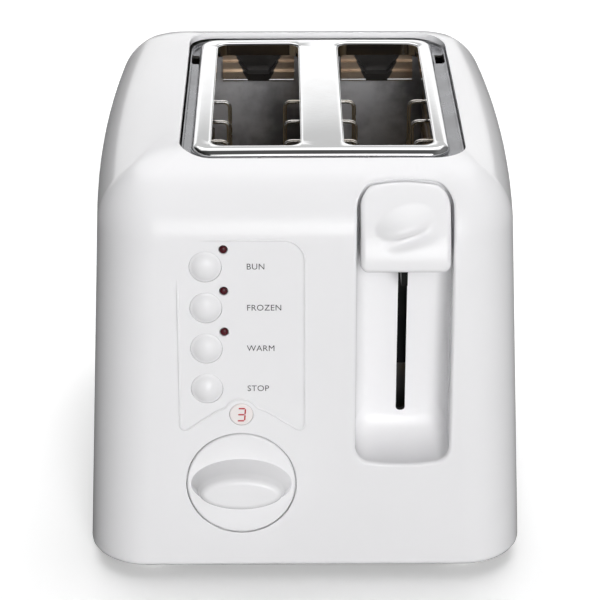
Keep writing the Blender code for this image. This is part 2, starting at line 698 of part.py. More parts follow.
def bread_guard(name, side, outwards):
    """One bent wire: a pivot along the foot, uprights past the bread, and top bends that tuck under the bezel."""
    high = CHASSIS_TOP - 0.0005
    tuck = outwards * (GUARD_REACH + 0.0020)
    foot = 0.0
    top = high - GUARD_PIVOT_Z
    front = PLATE_FRONT_Y - SHEET - 0.0008 - CHAMBER_Y
    back = PLATE_BACK_Y + SHEET + 0.0008 - CHAMBER_Y
    points = [(0, front, foot)]
    for i in range(0, len(GUARD_SPREAD), 2):
        up, down = GUARD_SPREAD[i], GUARD_SPREAD[i + 1]
        points += [(0, up - 0.0015, foot), (0, up, 0.0015), (0, up, top - 0.0015), (outwards * 0.0015, up, top)]
        points += [(tuck, up, top), (tuck, down, top), (outwards * 0.0015, down, top), (0, down, top - 0.0015)]
        points += [(0, down, 0.0015), (0, down + 0.0015, foot)]
    points.append((0, back, foot))
    place = (slot_x(side) + outwards * guard_offset(), CHAMBER_Y, GUARD_PIVOT_Z)
    pivot = empty(f"{name}_pivot", place, parent=TOASTER)
    piece(name, tube(points, GUARD_WIRE, sides=1), "bright_wire", pivot)


def bread_stop(name, side):
    """A stepped bracket on the rear plate, above the bread rack's path, with a tapered notch down its middle."""
    back = PLATE_BACK_Y - GAP
    top = CHASSIS_TOP + 0.0022
    steps = ((0.0022, 0.0034), (0.0044, 0.0041), (0.0066, 0.0045))  # forward reach, height of each step
    outline = [(back, top)]
    z = top
    for reach, height in steps:
        outline += [(back - reach, z), (back - reach, z - height)]
        z -= height
    outline.append((back, z))
    stop = piece(name, sideways(plate(outline, -0.0170, 0.0170)), "aluminised_steel", None, (slot_x(side), 0, 0))
    taper = [(-0.0128, top + 0.002), (-0.0050, z + 0.0035), (0.0050, z + 0.0035), (0.0128, top + 0.002)]
    cut(stop, helper(f"{name}_notch", upright(plate(taper, -0.02, 0)), None, (slot_x(side), back - SHEET, 0)))


# ---------------------------------------------------------------- carriage


def bread_rack(name, side):
    """A spine that runs through both chassis plates, with cross fingers that carry the bread."""
    front = BRACKET_Y + GAP
    back = PLATE_BACK_Y + SHEET + 0.002
    rack = piece(name, box((-0.0006, 0.0006), (front, back), (-0.010, 0)), "bright_wire", CARRIAGE)
    rack.location = (slot_x(side), 0, RACK_Z)
    for i in range(6):
        y = CHAMBER_Y + (i - 2.5) * 0.0235
        finger = box((-RACK_REACH, RACK_REACH), (y - 0.0016, y + 0.0016), (-0.0012, 0.0004))
        join(rack, helper(f"{name}_finger_{i}", finger, CARRIAGE, (slot_x(side), 0, RACK_Z)))
    return rack


def spring_place():
    rod_x, rod_y = rod_place()
    return (rod_x - 0.016, rod_y)


def carriage():
    """The bracket joins the racks, rides on the rod with its bush, and sends an arm out to the lever."""
    rod_x, rod_y = rod_place()
    spring_x, spring_y = spring_place()
    bar_low, bar_high = RACK_Z - 0.010, RACK_Z + 0.016
    left, right = slot_x(-1) - 0.006, LEVER_X + 0.007
    view = [(left, bar_low), (right, bar_low), (right, ARM_Z + ARM_HEIGHT), (LEVER_X - 0.008, ARM_Z + ARM_HEIGHT)]
    view += [(LEVER_X - 0.008, bar_high), (left, bar_high)]
    data = upright(plate(view, BRACKET_FRONT_Y, BRACKET_Y))
    bracket = piece("carriage_bracket", data, "aluminised_steel", CARRIAGE)
    half = ARM_THICK / 2
    arm_front = face_y(ARM_Z) + 0.0035
    tongue_top = LEVER_BOTTOM + TONGUE
    side_view = [(arm_front, ARM_Z), (BRACKET_Y - SHEET / 2, ARM_Z), (BRACKET_Y - SHEET / 2, ARM_Z + ARM_HEIGHT - GAP)]
    side_view += [(arm_front + 0.007, ARM_Z + ARM_HEIGHT - GAP), (arm_front + 0.007, tongue_top), (arm_front, tongue_top)]
    arm = sideways(plate(side_view, -half, half))
    join(bracket, helper("bracket_arm", arm, CARRIAGE, (LEVER_X, 0, 0)))

    tab = box((spring_x - 0.005, spring_x + 0.005), (spring_y - 0.005, BRACKET_Y - SHEET / 2), (bar_high - 0.0013, bar_high - 0.0001))
    join(bracket, helper("spring_tab", tab, CARRIAGE))

    bush_low = RACK_Z - 0.008
    bush = [(ROD_RADIUS + GAP, bush_low + BUSH_LENGTH), (BUSH_RADIUS, bush_low + BUSH_LENGTH), (BUSH_RADIUS, bush_low)]
    bush += [(ROD_RADIUS + GAP, bush_low), (ROD_RADIUS + GAP, bush_low + BUSH_LENGTH)]
    smooth(piece("carriage_bush", turned(bush, 16), "black_plastic", CARRIAGE, (rod_x, rod_y, 0)))

    keeper_x = magnet_x()
    keeper = box(
        (keeper_x - MAGNET_WIDTH / 2 + 0.001, keeper_x + MAGNET_WIDTH / 2 - 0.001),
        (BRACKET_FRONT_Y - MAGNET_CLEAR - 0.0115, BRACKET_FRONT_Y - GAP),
        (0, 0.0025),
    )
    piece("magnet_keeper", keeper, "aluminised_steel", CARRIAGE, (0, 0, keeper_z()))

    top = CHASSIS_TOP - 0.004 - GAP - SPRING_WIRE
    low = bar_high - 0.0001 + GAP + SPRING_WIRE
    per_turn = 8
    count = SPRING_TURNS * per_turn
    coil = []
    for i in range(count + 1):
        angle = 2 * math.pi * i / per_turn
        coil.append((SPRING_RADIUS * math.cos(angle), SPRING_RADIUS * math.sin(angle), low + (top - low) * i / count))
    piece("carriage_spring", tube(coil, SPRING_WIRE, sides=0), "bright_wire", None, (spring_x, spring_y, 0))


def magnet_x():
    return slot_x(-1) - 0.001


def keeper_z():
    return BASE_TOP + GAP + MAGNET_HEIGHT + GAP + LEVER_TRAVEL


def magnet():
    """The latching magnet: an iron core between side cheeks, and its winding."""
    x, half = magnet_x(), MAGNET_WIDTH / 2
    y = (BRACKET_FRONT_Y - MAGNET_CLEAR - 0.012, BRACKET_FRONT_Y - MAGNET_CLEAR)
    low = BASE_TOP + GAP
    core = piece("magnet_core", box((x - half, x + half), y, (low, low + MAGNET_HEIGHT)), "aluminised_steel")
    for side in (-1, 1):
        window = sorted((x + side * 0.0035, x + side * (half - 0.0025)))
        cut(core, helper(f"core_window_{side}", box(window, (y[0] - 0.01, y[1] + 0.01), (low + 0.004, low + 0.05))))
    winding = box((x - 0.0080, x + 0.0080), (y[0] - 0.0030, y[1] + 0.0025), (low + 0.0045, low + 0.0205))
    coil = piece("magnet_coil", winding, "copper")
    bore = box((x - 0.0038, x + 0.0038), (y[0] - GAP, y[1] + GAP), (low, low + 0.05))
    cut(coil, helper("coil_bore", bore))
    return coil


def lever_knob():
    """A wedge with a sloping face for one finger, hollow at the back for the carriage's arm."""
    back = RECESS_Y - 0.0010
    foot_front = face_y(LEVER_BOTTOM) - 0.0062
    low, high = LEVER_BOTTOM, LEVER_TOP
    outline = [
        (back, low),
        (back, high - 0.001),
        (back - 0.0012, high),
        (back - 0.0040, high - 0.0008),
        (back - 0.0095, high - 0.0070),
        (foot_front + 0.0018, low + 0.0110),
        (foot_front, low + 0.0060),
        (foot_front + 0.0005, low + 0.0030),
        (foot_front + 0.0030, low + 0.0006),
        (foot_front + 0.0055, low),
    ]
    data = sideways(plate(outline, -LEVER_WIDTH / 2 - 0.001, LEVER_WIDTH / 2 + 0.001))
    knob = piece("lever_knob", data, "white_plastic", CARRIAGE, (LEVER_X, 0, 0))
    front_view = upright(plate(rounded(LEVER_WIDTH / 2, LEVER_HEIGHT / 2 + 0.0005, 0.006, 4), -0.05, 0.05))
    place = (LEVER_X, (back + foot_front) / 2, (low + high) / 2)
    boolean(knob, helper("lever_front_view", front_view, CARRIAGE, place), "INTERSECT")
    half = ARM_THICK / 2 + GAP
    arm_front = face_y(ARM_Z) + 0.0035
    socket = box((-half, half), (arm_front - GAP, back + 0.01), (low - 0.01, low + TONGUE + GAP))
    cut(knob, helper("lever_socket", socket, CARRIAGE, (LEVER_X, 0, 0)))
    return smooth(knob)


# ---------------------------------------------------------------- controls


def button_places():
    top = HEIGHT - BUTTON_TOP_DROP
    return [(BUTTON_X, face_height(top - i * BUTTON_PITCH), 0) for i in range(4)]


def led_place(button):
    return (button[0] + LED_SHIFT[0], button[1] + LED_SHIFT[1], 0)


def display_place():
    return (DISPLAY_X, face_height(KNOB_Z + DISPLAY_ABOVE_KNOB), 0)


def board_front():
    """Height of the control board's front, in the front face's frame."""
    return -WALL - BOARD_DEPTH


def controls():
    board_z = board_front()
    low, high = face_height(KNOB_Z) + KNOB_RADIUS + 0.004, button_places()[0][1] + 0.013
    board = box((BUTTON_X - 0.012, -0.003), (low, high), (board_z - BOARD, board_z))
    piece("control_board", board, "circuit_board", FRONT)
    stand = 0.004  # switch body
    cap_reach = board_z + stand + GAP + BUTTON_TRAVEL + 0.0002
    for name, place in zip(("bagel", "defrost", "reheat", "cancel"), button_places()):
        r = BUTTON_RADIUS
        flange = -WALL - GAP - 0.0003
        profile = [(0, BUTTON_DOME), (r * 0.45, BUTTON_DOME * 0.93), (r * 0.8, BUTTON_DOME * 0.62), (r, 0)]
        profile += [(r, flange), (r + 0.0012, flange), (r + 0.0012, flange - 0.001)]
        profile += [(0.0022, flange - 0.001), (0.0022, cap_reach), (0, cap_reach)]
        slider = empty(f"{name}_button_slide", place, parent=FRONT)
        smooth(piece(f"{name}_button", turned(profile, 20), "white_plastic", slider))
        switch = box((-SWITCH / 2, SWITCH / 2), (-SWITCH / 2, SWITCH / 2), (board_z + GAP, board_z + stand))
        piece(f"{name}_switch", switch, "black_plastic", FRONT, place)
        if name != "cancel":
            r, dome = LED_RADIUS, 0.0004
            lamp = [(0, dome), (r * 0.7, dome * 0.6), (r, -0.0004), (r, board_z + GAP), (0, board_z + GAP)]
            smooth(piece(f"{name}_lamp", turned(lamp, 12), "red_lens", FRONT, led_place(place)))
    r = DISPLAY_RADIUS
    lens = [(0, 0.0003), (r - 0.0006, 0.0003), (r, -0.0003), (r, -WALL - 0.0012), (0, -WALL - 0.0012)]
    smooth(piece("display_lens", turned(lens, 20), "clear_lens", FRONT, display_place()))
    module = box((-0.0034, 0.0034), (-0.0046, 0.0046), (board_z + GAP, -WALL - 0.0012 - GAP))
    piece("digit_module", module, "black_plastic", FRONT, display_place())


def browning_control():
    """A round knob in a shallow well, on the shaft of the control behind the face."""
    place = (KNOB_X, face_height(KNOB_Z), 0)
    r = KNOB_RADIUS
    low = -KNOB_WELL + SLIDE
    profile = [(0, -0.0006), (r * 0.70, -0.0006), (r - 0.0012, 0.0006), (r, 0), (r, low), (SHAFT_RADIUS + GAP, low)]
    profile += [(SHAFT_RADIUS + GAP, -0.0018), (0, -0.0018)]
    turn_axis = empty("knob_turn", place, parent=FRONT)
    knob = smooth(piece("browning_knob", turned(profile, 40), "white_plastic", turn_axis))
    rings = []
    for height, reach in ((-0.001, 1.04), (KNOB_RIDGE * 0.7, 0.98), (KNOB_RIDGE * 0.93, 0.9), (KNOB_RIDGE, GRIP_TAPER)):
        half_x, half_y = r * GRIP_WIDTH * reach, r * (GRIP_HEIGHT - (1 - reach) * GRIP_WIDTH)
        turns = [2 * math.pi * i / 28 for i in range(28)]
        rings.append([(half_x * math.cos(turn), half_y * math.sin(turn), height) for turn in turns])
    join(knob, helper("knob_ridge", loft(rings, "knob_ridge"), turn_axis))

    body_front = -KNOB_WELL - WALL - GAP
    shaft = disc(SHAFT_RADIUS, body_front - 0.0045, -0.0018 - GAP, 16)
    piece("knob_shaft", shaft, "bright_wire", turn_axis)
    data = box((-0.008, 0.008), (-0.008, 0.008), (body_front - 0.009, body_front))
    body = piece("browning_control", data, "black_plastic", FRONT, place)
    cut(body, helper("control_bore", disc(SHAFT_RADIUS + GAP, body_front - 0.0048, 0.01, 16), FRONT, place))


# ---------------------------------------------------------------- back and left bay


def cord_place():
    z = BASE_TOP + 0.016
    return (CORD_X, HALF_LENGTH - (z - FOOT_HEIGHT) * math.tan(FACE_LEAN) - WALL / 2, z)


def cord_inlet():
    """The bush that the mains lead would pass through, and the block that it would be wired to."""
    x, y, z = cord_place()
    wall = WALL / 2 + 0.0006
    profile = [(CORD_BORE, wall + 0.0016), (CORD_HOLE + 0.0014, wall + 0.0016), (CORD_HOLE + 0.0014, wall)]
    profile += [(CORD_HOLE, wall), (CORD_HOLE, -wall - 0.003), (CORD_BORE, -wall - 0.003), (CORD_BORE, wall + 0.0016)]
    smooth(piece("cord_bush", turned(profile, 20), "foot_plastic", None, (x, y, z), (-math.pi / 2, 0, 0)))
    block = box((x - 0.008, x + 0.008), (y - 0.032, y - 0.014), (BASE_TOP + GAP, BASE_TOP + 0.014))
    piece("terminal_block", block, "black_plastic")


def power_electronics():
    """The power board stands in the left bay, beside the heat shield, with its transformer."""
    shield = CHAMBER_X - CHAMBER_HALF_X - SHIELD_OFFSET - SHEET
    x = shield - 0.0085
    y = (CHAMBER_Y - 0.045, CHAMBER_Y + 0.035)
    top = BASE_TOP + 0.070
    piece("power_board", box((x - BOARD, x), y, (BASE_TOP + GAP, top)), "circuit_board")
    near, low = x - BOARD - GAP, BASE_TOP + 0.012
    data = box((near - 0.016, near), (y[0] + 0.012, y[0] + 0.034), (low, low + 0.022))
    piece("transformer", data, "black_plastic")


def crumb_tray():
    """A pan that slides on the base's runners, with a handle outside the back of the housing."""
    half = TRAY_HALF
    low = BASE_TOP + TRAY_LIFT
    front = PLATE_FRONT_Y + 0.003
    back = HALF_LENGTH + GAP
    tray = piece("crumb_tray", box((-half, half), (front, back), (low, low + TRAY_HEIGHT)), "aluminised_steel", TRAY)
    hollow = box((-half + SHEET, half - SHEET), (front + SHEET, back - SHEET), (low + SHEET, low + 0.03))
    cut(tray, helper("tray_hollow", hollow, TRAY))
    handle_y = (back + GAP, back + GAP + HANDLE_DEPTH)
    grip = HANDLE_WIDTH / 2
    handle_low = FOOT_HEIGHT + 0.001
    data = box((-grip, grip), handle_y, (handle_low, handle_low + HANDLE_HEIGHT))
    handle = soften(piece("tray_handle", data, "white_plastic", TRAY), 0.0018, 3)
    return handle


clear_scene()
PARTS = new_collection("toaster")
CUTTERS = new_collection("cutters")
TOASTER = empty("toaster", (0, BODY_SHIFT, 0))
FRONT = empty("front_face", (0, -HALF_LENGTH, FOOT_HEIGHT), (math.pi / 2 - FACE_LEAN, 0, 0), TOASTER)
CARRIAGE = empty("carriage", parent=TOASTER)
TRAY = empty("tray", (CHAMBER_X, 0, 0), parent=TOASTER)

housing()
base_plate()
feet()
base_screws()
top_bezel()
chassis()
elements()
for slot_name, slot_side in (("left", -1), ("right", 1)):
    bread_guard(f"{slot_name}_slot_left_guard", slot_side, -1)
    bread_guard(f"{slot_name}_slot_right_guard", slot_side, 1)
    bread_stop(f"{slot_name}_bread_stop", slot_side)
    bread_rack(f"{slot_name}_bread_rack", slot_side)
carriage()
magnet()
lever_knob()
controls()
browning_control()
cord_inlet()
power_electronics()
crumb_tray()
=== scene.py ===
# Two-slice toaster: finished surfaces, colours and studio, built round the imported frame.
import math

import bmesh
import bpy
from mathutils import Matrix, Vector


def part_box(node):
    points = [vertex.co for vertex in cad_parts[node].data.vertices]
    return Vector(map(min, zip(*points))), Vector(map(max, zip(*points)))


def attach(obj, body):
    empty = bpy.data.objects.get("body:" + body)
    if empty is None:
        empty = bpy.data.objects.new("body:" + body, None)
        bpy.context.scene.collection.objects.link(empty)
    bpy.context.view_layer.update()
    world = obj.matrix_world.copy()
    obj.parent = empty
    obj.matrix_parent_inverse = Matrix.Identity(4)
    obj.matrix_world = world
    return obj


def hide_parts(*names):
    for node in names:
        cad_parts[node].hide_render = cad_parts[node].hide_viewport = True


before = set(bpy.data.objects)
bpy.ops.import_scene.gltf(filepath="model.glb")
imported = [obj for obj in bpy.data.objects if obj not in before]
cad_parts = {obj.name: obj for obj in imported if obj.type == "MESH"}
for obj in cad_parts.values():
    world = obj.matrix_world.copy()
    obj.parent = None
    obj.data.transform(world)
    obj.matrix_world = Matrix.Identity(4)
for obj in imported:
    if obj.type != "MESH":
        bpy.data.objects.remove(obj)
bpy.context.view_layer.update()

scene = bpy.context.scene
print("frame loaded:", len(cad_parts), "parts")


# the studio: camera, world light and floor

studio = {
    "cameraBack": 0.852,  # from the toaster's front foot
    "cameraHeight": 0.531,
    "cameraSide": -0.0099,
    "lookDown": 25.04,
    "cameraRoll": -0.5,  # turned a little round the vertical
    "lens": 137.4,
    "floorColour": (0.97, 0.97, 0.97),
    "floorBounce": (0.17, 0.17, 0.17),  # what the floor gives back to the toaster, as a greyer sweep would
    "floorLift": 0.22,  # keeps the swept floor white to the camera
    "floorReach": 9.0,
    "overhead": 2.5,
    "overheadMirrored": 0.42,
    "front": 12.6,
    "frontMirrored": 0.20,
    "frontAside": 0.17,  # to the right
    "dome": 0.07,
    "backWall": 1.15,
    "sideFill": 0.02,
    "rightFill": 0.12,
}


def placeCamera(frontY):
    lens = bpy.data.cameras.new("productCamera")
    lens.lens, lens.sensor_width = studio["lens"], 36
    lens.clip_start, lens.clip_end = 0.01, 50
    camera = bpy.data.objects.new("productCamera", lens)
    scene.collection.objects.link(camera)
    camera.location = (studio["cameraSide"], frontY - studio["cameraBack"], studio["cameraHeight"])
    camera.rotation_euler = (math.radians(90 - studio["lookDown"]), 0, math.radians(studio["cameraRoll"]))
    scene.camera = camera
    scene.view_settings.view_transform = "Standard"


class Wires:
    # adds nodes to a tree and links what they are fed with
    def __init__(self, tree):
        self.tree = tree

    def add(self, kind, settings=None, **feeds):
        node = self.tree.nodes.new(kind)
        for key, value in (settings or {}).items():
            setattr(node, key, value)
        for key, value in feeds.items():
            name = key.replace("_", " ")
            socket = node.inputs[int(key[1:])] if key[0] == "i" and key[1:].isdigit() else node.inputs[name]
            if isinstance(value, bpy.types.NodeSocket):
                self.tree.links.new(value, socket)
            else:
                socket.default_value = value
        return node

    def math(self, operation, a, b=0.0, c=0.0):
        return self.add("ShaderNodeMath", {"operation": operation}, i0=a, i1=b, i2=c).outputs[0]

    def ramp(self, value, low, high, outLow=0.0, outHigh=1.0, kind="SMOOTHSTEP"):
        settings = {"interpolation_type": kind}
        feeds = {"Value": value, "From_Min": low, "From_Max": high, "To_Min": outLow, "To_Max": outHigh}
        return self.add("ShaderNodeMapRange", settings, **feeds).outputs[0]

    def mix(self, factor, a, b):
        node = self.add("ShaderNodeMix", {"data_type": "RGBA"})
        for socket, value in ((node.inputs["Factor"], factor), (node.inputs[6], a), (node.inputs[7], b)):
            if isinstance(value, bpy.types.NodeSocket):
                self.tree.links.new(value, socket)
            else:
                socket.default_value = value
        return node.outputs[2]


def lightWorld():
    # the light comes from a world of soft panels: overhead, a front fill and a pale back wall
    world = bpy.data.worlds.new("studioWorld")
    scene.world = world
    world.use_nodes = True
    world.node_tree.nodes.clear()
    w = Wires(world.node_tree)
    place = w.add("ShaderNodeTexCoord").outputs["Generated"]
    axis = w.add("ShaderNodeSeparateXYZ", Vector=place).outputs
    side = w.math("ABSOLUTE", axis["X"])
    up = w.math("MAXIMUM", axis["Z"], 0.001)
    ahead = w.math("MAXIMUM", axis["Y"], 0.001)
    nearer = w.math("MAXIMUM", w.math("MULTIPLY", axis["Y"], -1.0), 0.001)
    steep = w.math("DIVIDE", axis["Z"], nearer)
    # overhead panel: a strip above and behind the toaster, dimmed where shiny parts mirror it
    lean = w.math("DIVIDE", axis["Y"], up)
    overhead = w.math("MULTIPLY", w.ramp(lean, -0.10, 0.30), w.ramp(lean, 1.10, 1.60, 1.0, 0.0))
    overhead = w.math("MULTIPLY", overhead, w.ramp(w.math("DIVIDE", side, up), 0.5, 0.9, 1.0, 0.0))
    overhead = w.math("MULTIPLY", overhead, w.ramp(axis["Z"], 0.3, 0.5))
    glossy = w.add("ShaderNodeLightPath").outputs["Is Glossy Ray"]
    overhead = w.math("MULTIPLY", overhead, w.ramp(glossy, 0.0, 1.0, 1.0, studio["overheadMirrored"]))
    # front fill, low behind the camera
    aside = w.math("ABSOLUTE", w.math("MULTIPLY_ADD", nearer, -studio["frontAside"], axis["X"]))
    front = w.ramp(w.math("DIVIDE", aside, nearer), 0.05, 0.42, 1.0, 0.0)
    front = w.math("MULTIPLY", front, w.ramp(steep, 0.35, 0.85, 1.0, 0.0))
    front = w.math("MULTIPLY", front, w.ramp(axis["Y"], -0.10, -0.30, 0.0, 1.0))
    front = w.math("MULTIPLY", front, w.ramp(glossy, 0.0, 1.0, 1.0, studio["frontMirrored"]))
    # pale back wall, brightest low down
    back = w.ramp(w.math("DIVIDE", side, ahead), 0.5, 1.1, 1.0, 0.0)
    back = w.math("MULTIPLY", back, w.ramp(w.math("DIVIDE", axis["Z"], ahead), 0.335, 0.42, 1.0, 0.5))
    back = w.math("MULTIPLY", back, w.ramp(axis["Y"], 0.1, 0.3))
    total = w.math("MULTIPLY_ADD", overhead, studio["overhead"], studio["sideFill"])
    rightSide = w.ramp(axis["X"], 0.2, 0.9)
    total = w.math("MULTIPLY_ADD", rightSide, studio["rightFill"], total)
    dome = w.math("MULTIPLY", w.ramp(axis["Z"], 0.0, 0.6), w.ramp(axis["X"], -0.8, 0.1))
    total = w.math("MULTIPLY_ADD", dome, studio["dome"], total)
    total = w.math("MULTIPLY_ADD", front, studio["front"], total)
    total = w.math("MULTIPLY_ADD", back, studio["backWall"], total)
    background = w.add("ShaderNodeBackground", Color=(1, 1, 1, 1), Strength=total)
    w.add("ShaderNodeOutputWorld", Surface=background.outputs[0])
    print("studio lit")


def meshPiece(name, points, faces, material, smoothAngle=35):
    # a piece from points and faces, shaded smooth up to smoothAngle
    mesh = bpy.data.meshes.new(name)
    mesh.from_pydata([tuple(p) for p in points], [], faces)
    mesh.validate()
    made = bpy.data.objects.new(name, mesh)
    scene.collection.objects.link(made)
    if material:
        mesh.materials.append(material)
    tidyNormals(mesh, smoothAngle)
    return made


def tidyNormals(mesh, smoothAngle):
    work = bmesh.new()
    work.from_mesh(mesh)
    bmesh.ops.recalc_face_normals(work, faces=work.faces)
    work.to_mesh(mesh)
    work.free()
    mesh.shade_smooth()
    mesh.set_sharp_from_angle(angle=math.radians(smoothAngle))


def loft(name, rings, material=None, caps=(True, True), smoothAngle=35, rungStart=14):
    # a skin through closed rings with the same number of points; a ring of one point closes to a tip
    points, rows = [], []
    for ring in rings:
        rows.append(list(range(len(points), len(points) + len(ring))))
        points += list(ring)
    count = max(len(row) for row in rows)
    faces = []
    for low, high in zip(rows, rows[1:]):
        for i in range(count):
            j = (i + 1) % count
            if len(low) == 1:
                faces.append((low[0], high[j], high[i]))
            elif len(high) == 1:
                faces.append((low[i], low[j], high[0]))
            else:
                faces.append((low[i], low[j], high[j], high[i]))
    if caps[0] and len(rows[0]) > 2:
        faces.append(rows[0][::-1])
    if caps[1] == "rungs":  # for a ring that is the same on both sides of its top point but isn't flat
        row, crest = rows[-1], rungStart
        for k in range(count // 2):
            rung = [row[(crest + step) % count] for step in (-k, -k - 1, k + 1, k)]
            faces.append(tuple(dict.fromkeys(rung)))
    elif caps[1] and len(rows[-1]) > 2:
        faces.append(rows[-1])
    return meshPiece(name, points, faces, material, smoothAngle)


def turned(name, profile, steps, place, material=None, smoothAngle=35, closed=False):
    # a profile of (radius, height) pairs turned about the Z axis of place; a radius of 0 is a tip
    rings = []
    for radius, height in profile:
        if radius < 1e-7:
            rings.append([place @ Vector((0, 0, height))])
            continue
        turns = [2 * math.pi * i / steps for i in range(steps)]
        rings.append([place @ Vector((radius * math.cos(t), radius * math.sin(t), height)) for t in turns])
    if closed:
        rings.append(rings[0])
    return loft(name, rings, material, (not closed, not closed), smoothAngle)


def roundedOutline(halfX, halfY, radius, steps=6, alongX=1, alongY=1, centre=(0, 0), lowRadius=None):
    # rectangle with round corners, anticlockwise, with extra points along its edges
    def cornerPoint(corner, share):
        sx, sy = ((1, 1), (-1, 1), (-1, -1), (1, -1))[corner % 4]
        size = radius if sy > 0 or lowRadius is None else lowRadius
        turn = math.pi / 2 * (corner + share)
        x = centre[0] + sx * (halfX - size) + size * math.cos(turn)
        return x, centre[1] + sy * (halfY - size) + size * math.sin(turn)

    outline = []
    for corner in range(4):
        outline += [cornerPoint(corner, i / steps) for i in range(steps + 1)]
        start, end = outline[-1], cornerPoint(corner + 1, 0)
        count = alongX if corner in (0, 2) else alongY
        for i in range(1, count):
            outline.append([a + (b - a) * (i / count) for a, b in zip(start, end)])
    return outline


def roundedEdge(radius, height, size, turns, squash=1.0):
    # profile points of an outer edge rounded by size, from the top down
    return [
        (radius - size + size * math.sin(t), height - size * squash + size * squash * math.cos(t)) for t in turns
    ]


def boxMiddle(node):
    low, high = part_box(node)
    return (low + high) / 2


def arc(centreR, centreZ, radius, fromDeg, toDeg, steps):
    # points of an arc in a profile
    turns = [math.radians(fromDeg + (toDeg - fromDeg) * i / steps) for i in range(steps + 1)]
    return [(centreR + radius * math.cos(t), centreZ + radius * math.sin(t)) for t in turns]


def carve(target, cutter, operation="DIFFERENCE"):
    modifier = target.modifiers.new(cutter.name, "BOOLEAN")
    modifier.operation, modifier.solver, modifier.object = operation, "EXACT", cutter
    modifier.material_mode = "TRANSFER"
    cutter.hide_render = True


def settle(target, smoothAngle=35, weighted=True):
    # applies a piece's modifiers, deletes its cutters and weights its normals by face size
    cutters = [m.object for m in target.modifiers if m.type == "BOOLEAN"]
    graph = bpy.context.evaluated_depsgraph_get()
    target.data = bpy.data.meshes.new_from_object(target.evaluated_get(graph))
    target.modifiers.clear()
    for cutter in cutters:
        bpy.data.objects.remove(cutter)
    target.data.shade_smooth()
    target.data.set_sharp_from_angle(angle=math.radians(smoothAngle))
    if weighted:
        modifier = target.modifiers.new("weightedNormals", "WEIGHTED_NORMAL")
        modifier.keep_sharp, modifier.weight = True, 60


def stand(piece, body, slot, *stoodFor):
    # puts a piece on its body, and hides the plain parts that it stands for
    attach(piece, body)
    if stoodFor:
        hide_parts(*stoodFor)


def surfaceGroup(name, inputs, outputs):
    # an empty effect group with its named inputs and outputs, shared by several finishes
    group = bpy.data.node_groups.new(name, "ShaderNodeTree")
    for socket, value in inputs.items():
        made = group.interface.new_socket(socket, in_out="INPUT", socket_type="NodeSocketFloat")
        made.default_value = value
    for socket in outputs:
        kind = "NodeSocketColor" if socket == "Colour" else "NodeSocketFloat"
        group.interface.new_socket(socket, in_out="OUTPUT", socket_type=kind)
    w = Wires(group)
    entry = w.add("NodeGroupInput").outputs
    result = w.add("NodeGroupOutput").inputs
    return group, w, entry, result


def mouldedGrainGroup():
    # moulded plastic: soft waviness, fine grain, a slow drift in gloss, and sparse dust
    inputs = {"Wave Scale": 60.0, "Grain Scale": 2600.0, "Gloss Low": 0.2, "Gloss High": 0.3}
    inputs["Dust Amount"] = 0.02
    group, w, entry, result = surfaceGroup("mouldedGrain", inputs, ("Height", "Roughness", "Dust", "Drift"))
    place = w.add("ShaderNodeTexCoord").outputs["Object"]
    wave = w.add("ShaderNodeTexNoise", None, Vector=place, Scale=entry["Wave Scale"], Detail=2.0).outputs[0]
    grain = w.add("ShaderNodeTexNoise", None, Vector=place, Scale=entry["Grain Scale"], Detail=3.0).outputs[0]
    height = w.math("MULTIPLY_ADD", grain, 0.12, wave)
    w.tree.links.new(height, result["Height"])
    drift = w.add("ShaderNodeTexNoise", None, Vector=place, Scale=14.0, Detail=4.0, Roughness=0.6).outputs[0]
    drift = w.ramp(drift, 0.3, 0.7)
    spread = w.math("SUBTRACT", entry["Gloss High"], entry["Gloss Low"])
    gloss = w.math("MULTIPLY_ADD", drift, spread, entry["Gloss Low"])
    specks = w.add("ShaderNodeTexVoronoi", None, Vector=place, Scale=420.0).outputs["Distance"]
    patches = w.add("ShaderNodeTexNoise", None, Vector=place, Scale=34.0, Detail=3.0).outputs[0]
    dust = w.math("MULTIPLY", w.ramp(specks, 0.05, 0.12, 1.0, 0.0), w.ramp(patches, 0.52, 0.66))
    dust = w.math("MULTIPLY", dust, entry["Dust Amount"])
    w.tree.links.new(w.math("ADD", gloss, dust), result["Roughness"])
    w.tree.links.new(dust, result["Dust"])
    w.tree.links.new(drift, result["Drift"])
    return group


def rolledMetalGroup():
    # rolled sheet or drawn wire: fine lines along one axis, and smudges
    inputs = {"Line Scale": 900.0, "Stretch": 0.04, "Gloss Low": 0.15, "Gloss High": 0.3}
    inputs["Smudge Scale"] = 45.0
    group, w, entry, result = surfaceGroup("rolledMetal", inputs, ("Height", "Roughness", "Smudge"))
    place = w.add("ShaderNodeTexCoord").outputs["Object"]
    scaled = w.add("ShaderNodeCombineXYZ", None, X=1.0, Y=entry["Stretch"], Z=1.0).outputs[0]
    along = w.add("ShaderNodeVectorMath", {"operation": "MULTIPLY"}, i0=place, i1=scaled).outputs[0]
    lines = w.add("ShaderNodeTexNoise", None, Vector=along, Scale=entry["Line Scale"], Detail=3.0).outputs[0]
    smudge = w.add("ShaderNodeTexNoise", None, Vector=place, Scale=entry["Smudge Scale"], Detail=4.0).outputs[0]
    smudge = w.ramp(smudge, 0.35, 0.70)
    spread = w.math("SUBTRACT", entry["Gloss High"], entry["Gloss Low"])
    uneven = w.math("MULTIPLY_ADD", lines, 0.4, w.math("MULTIPLY", smudge, 0.6))
    gloss = w.math("MULTIPLY_ADD", uneven, spread, entry["Gloss Low"])
    for value, socket in ((lines, "Height"), (gloss, "Roughness"), (smudge, "Smudge")):
        w.tree.links.new(value, result[socket])
    return group


groups = {"moulded": mouldedGrainGroup(), "rolled": rolledMetalGroup()}

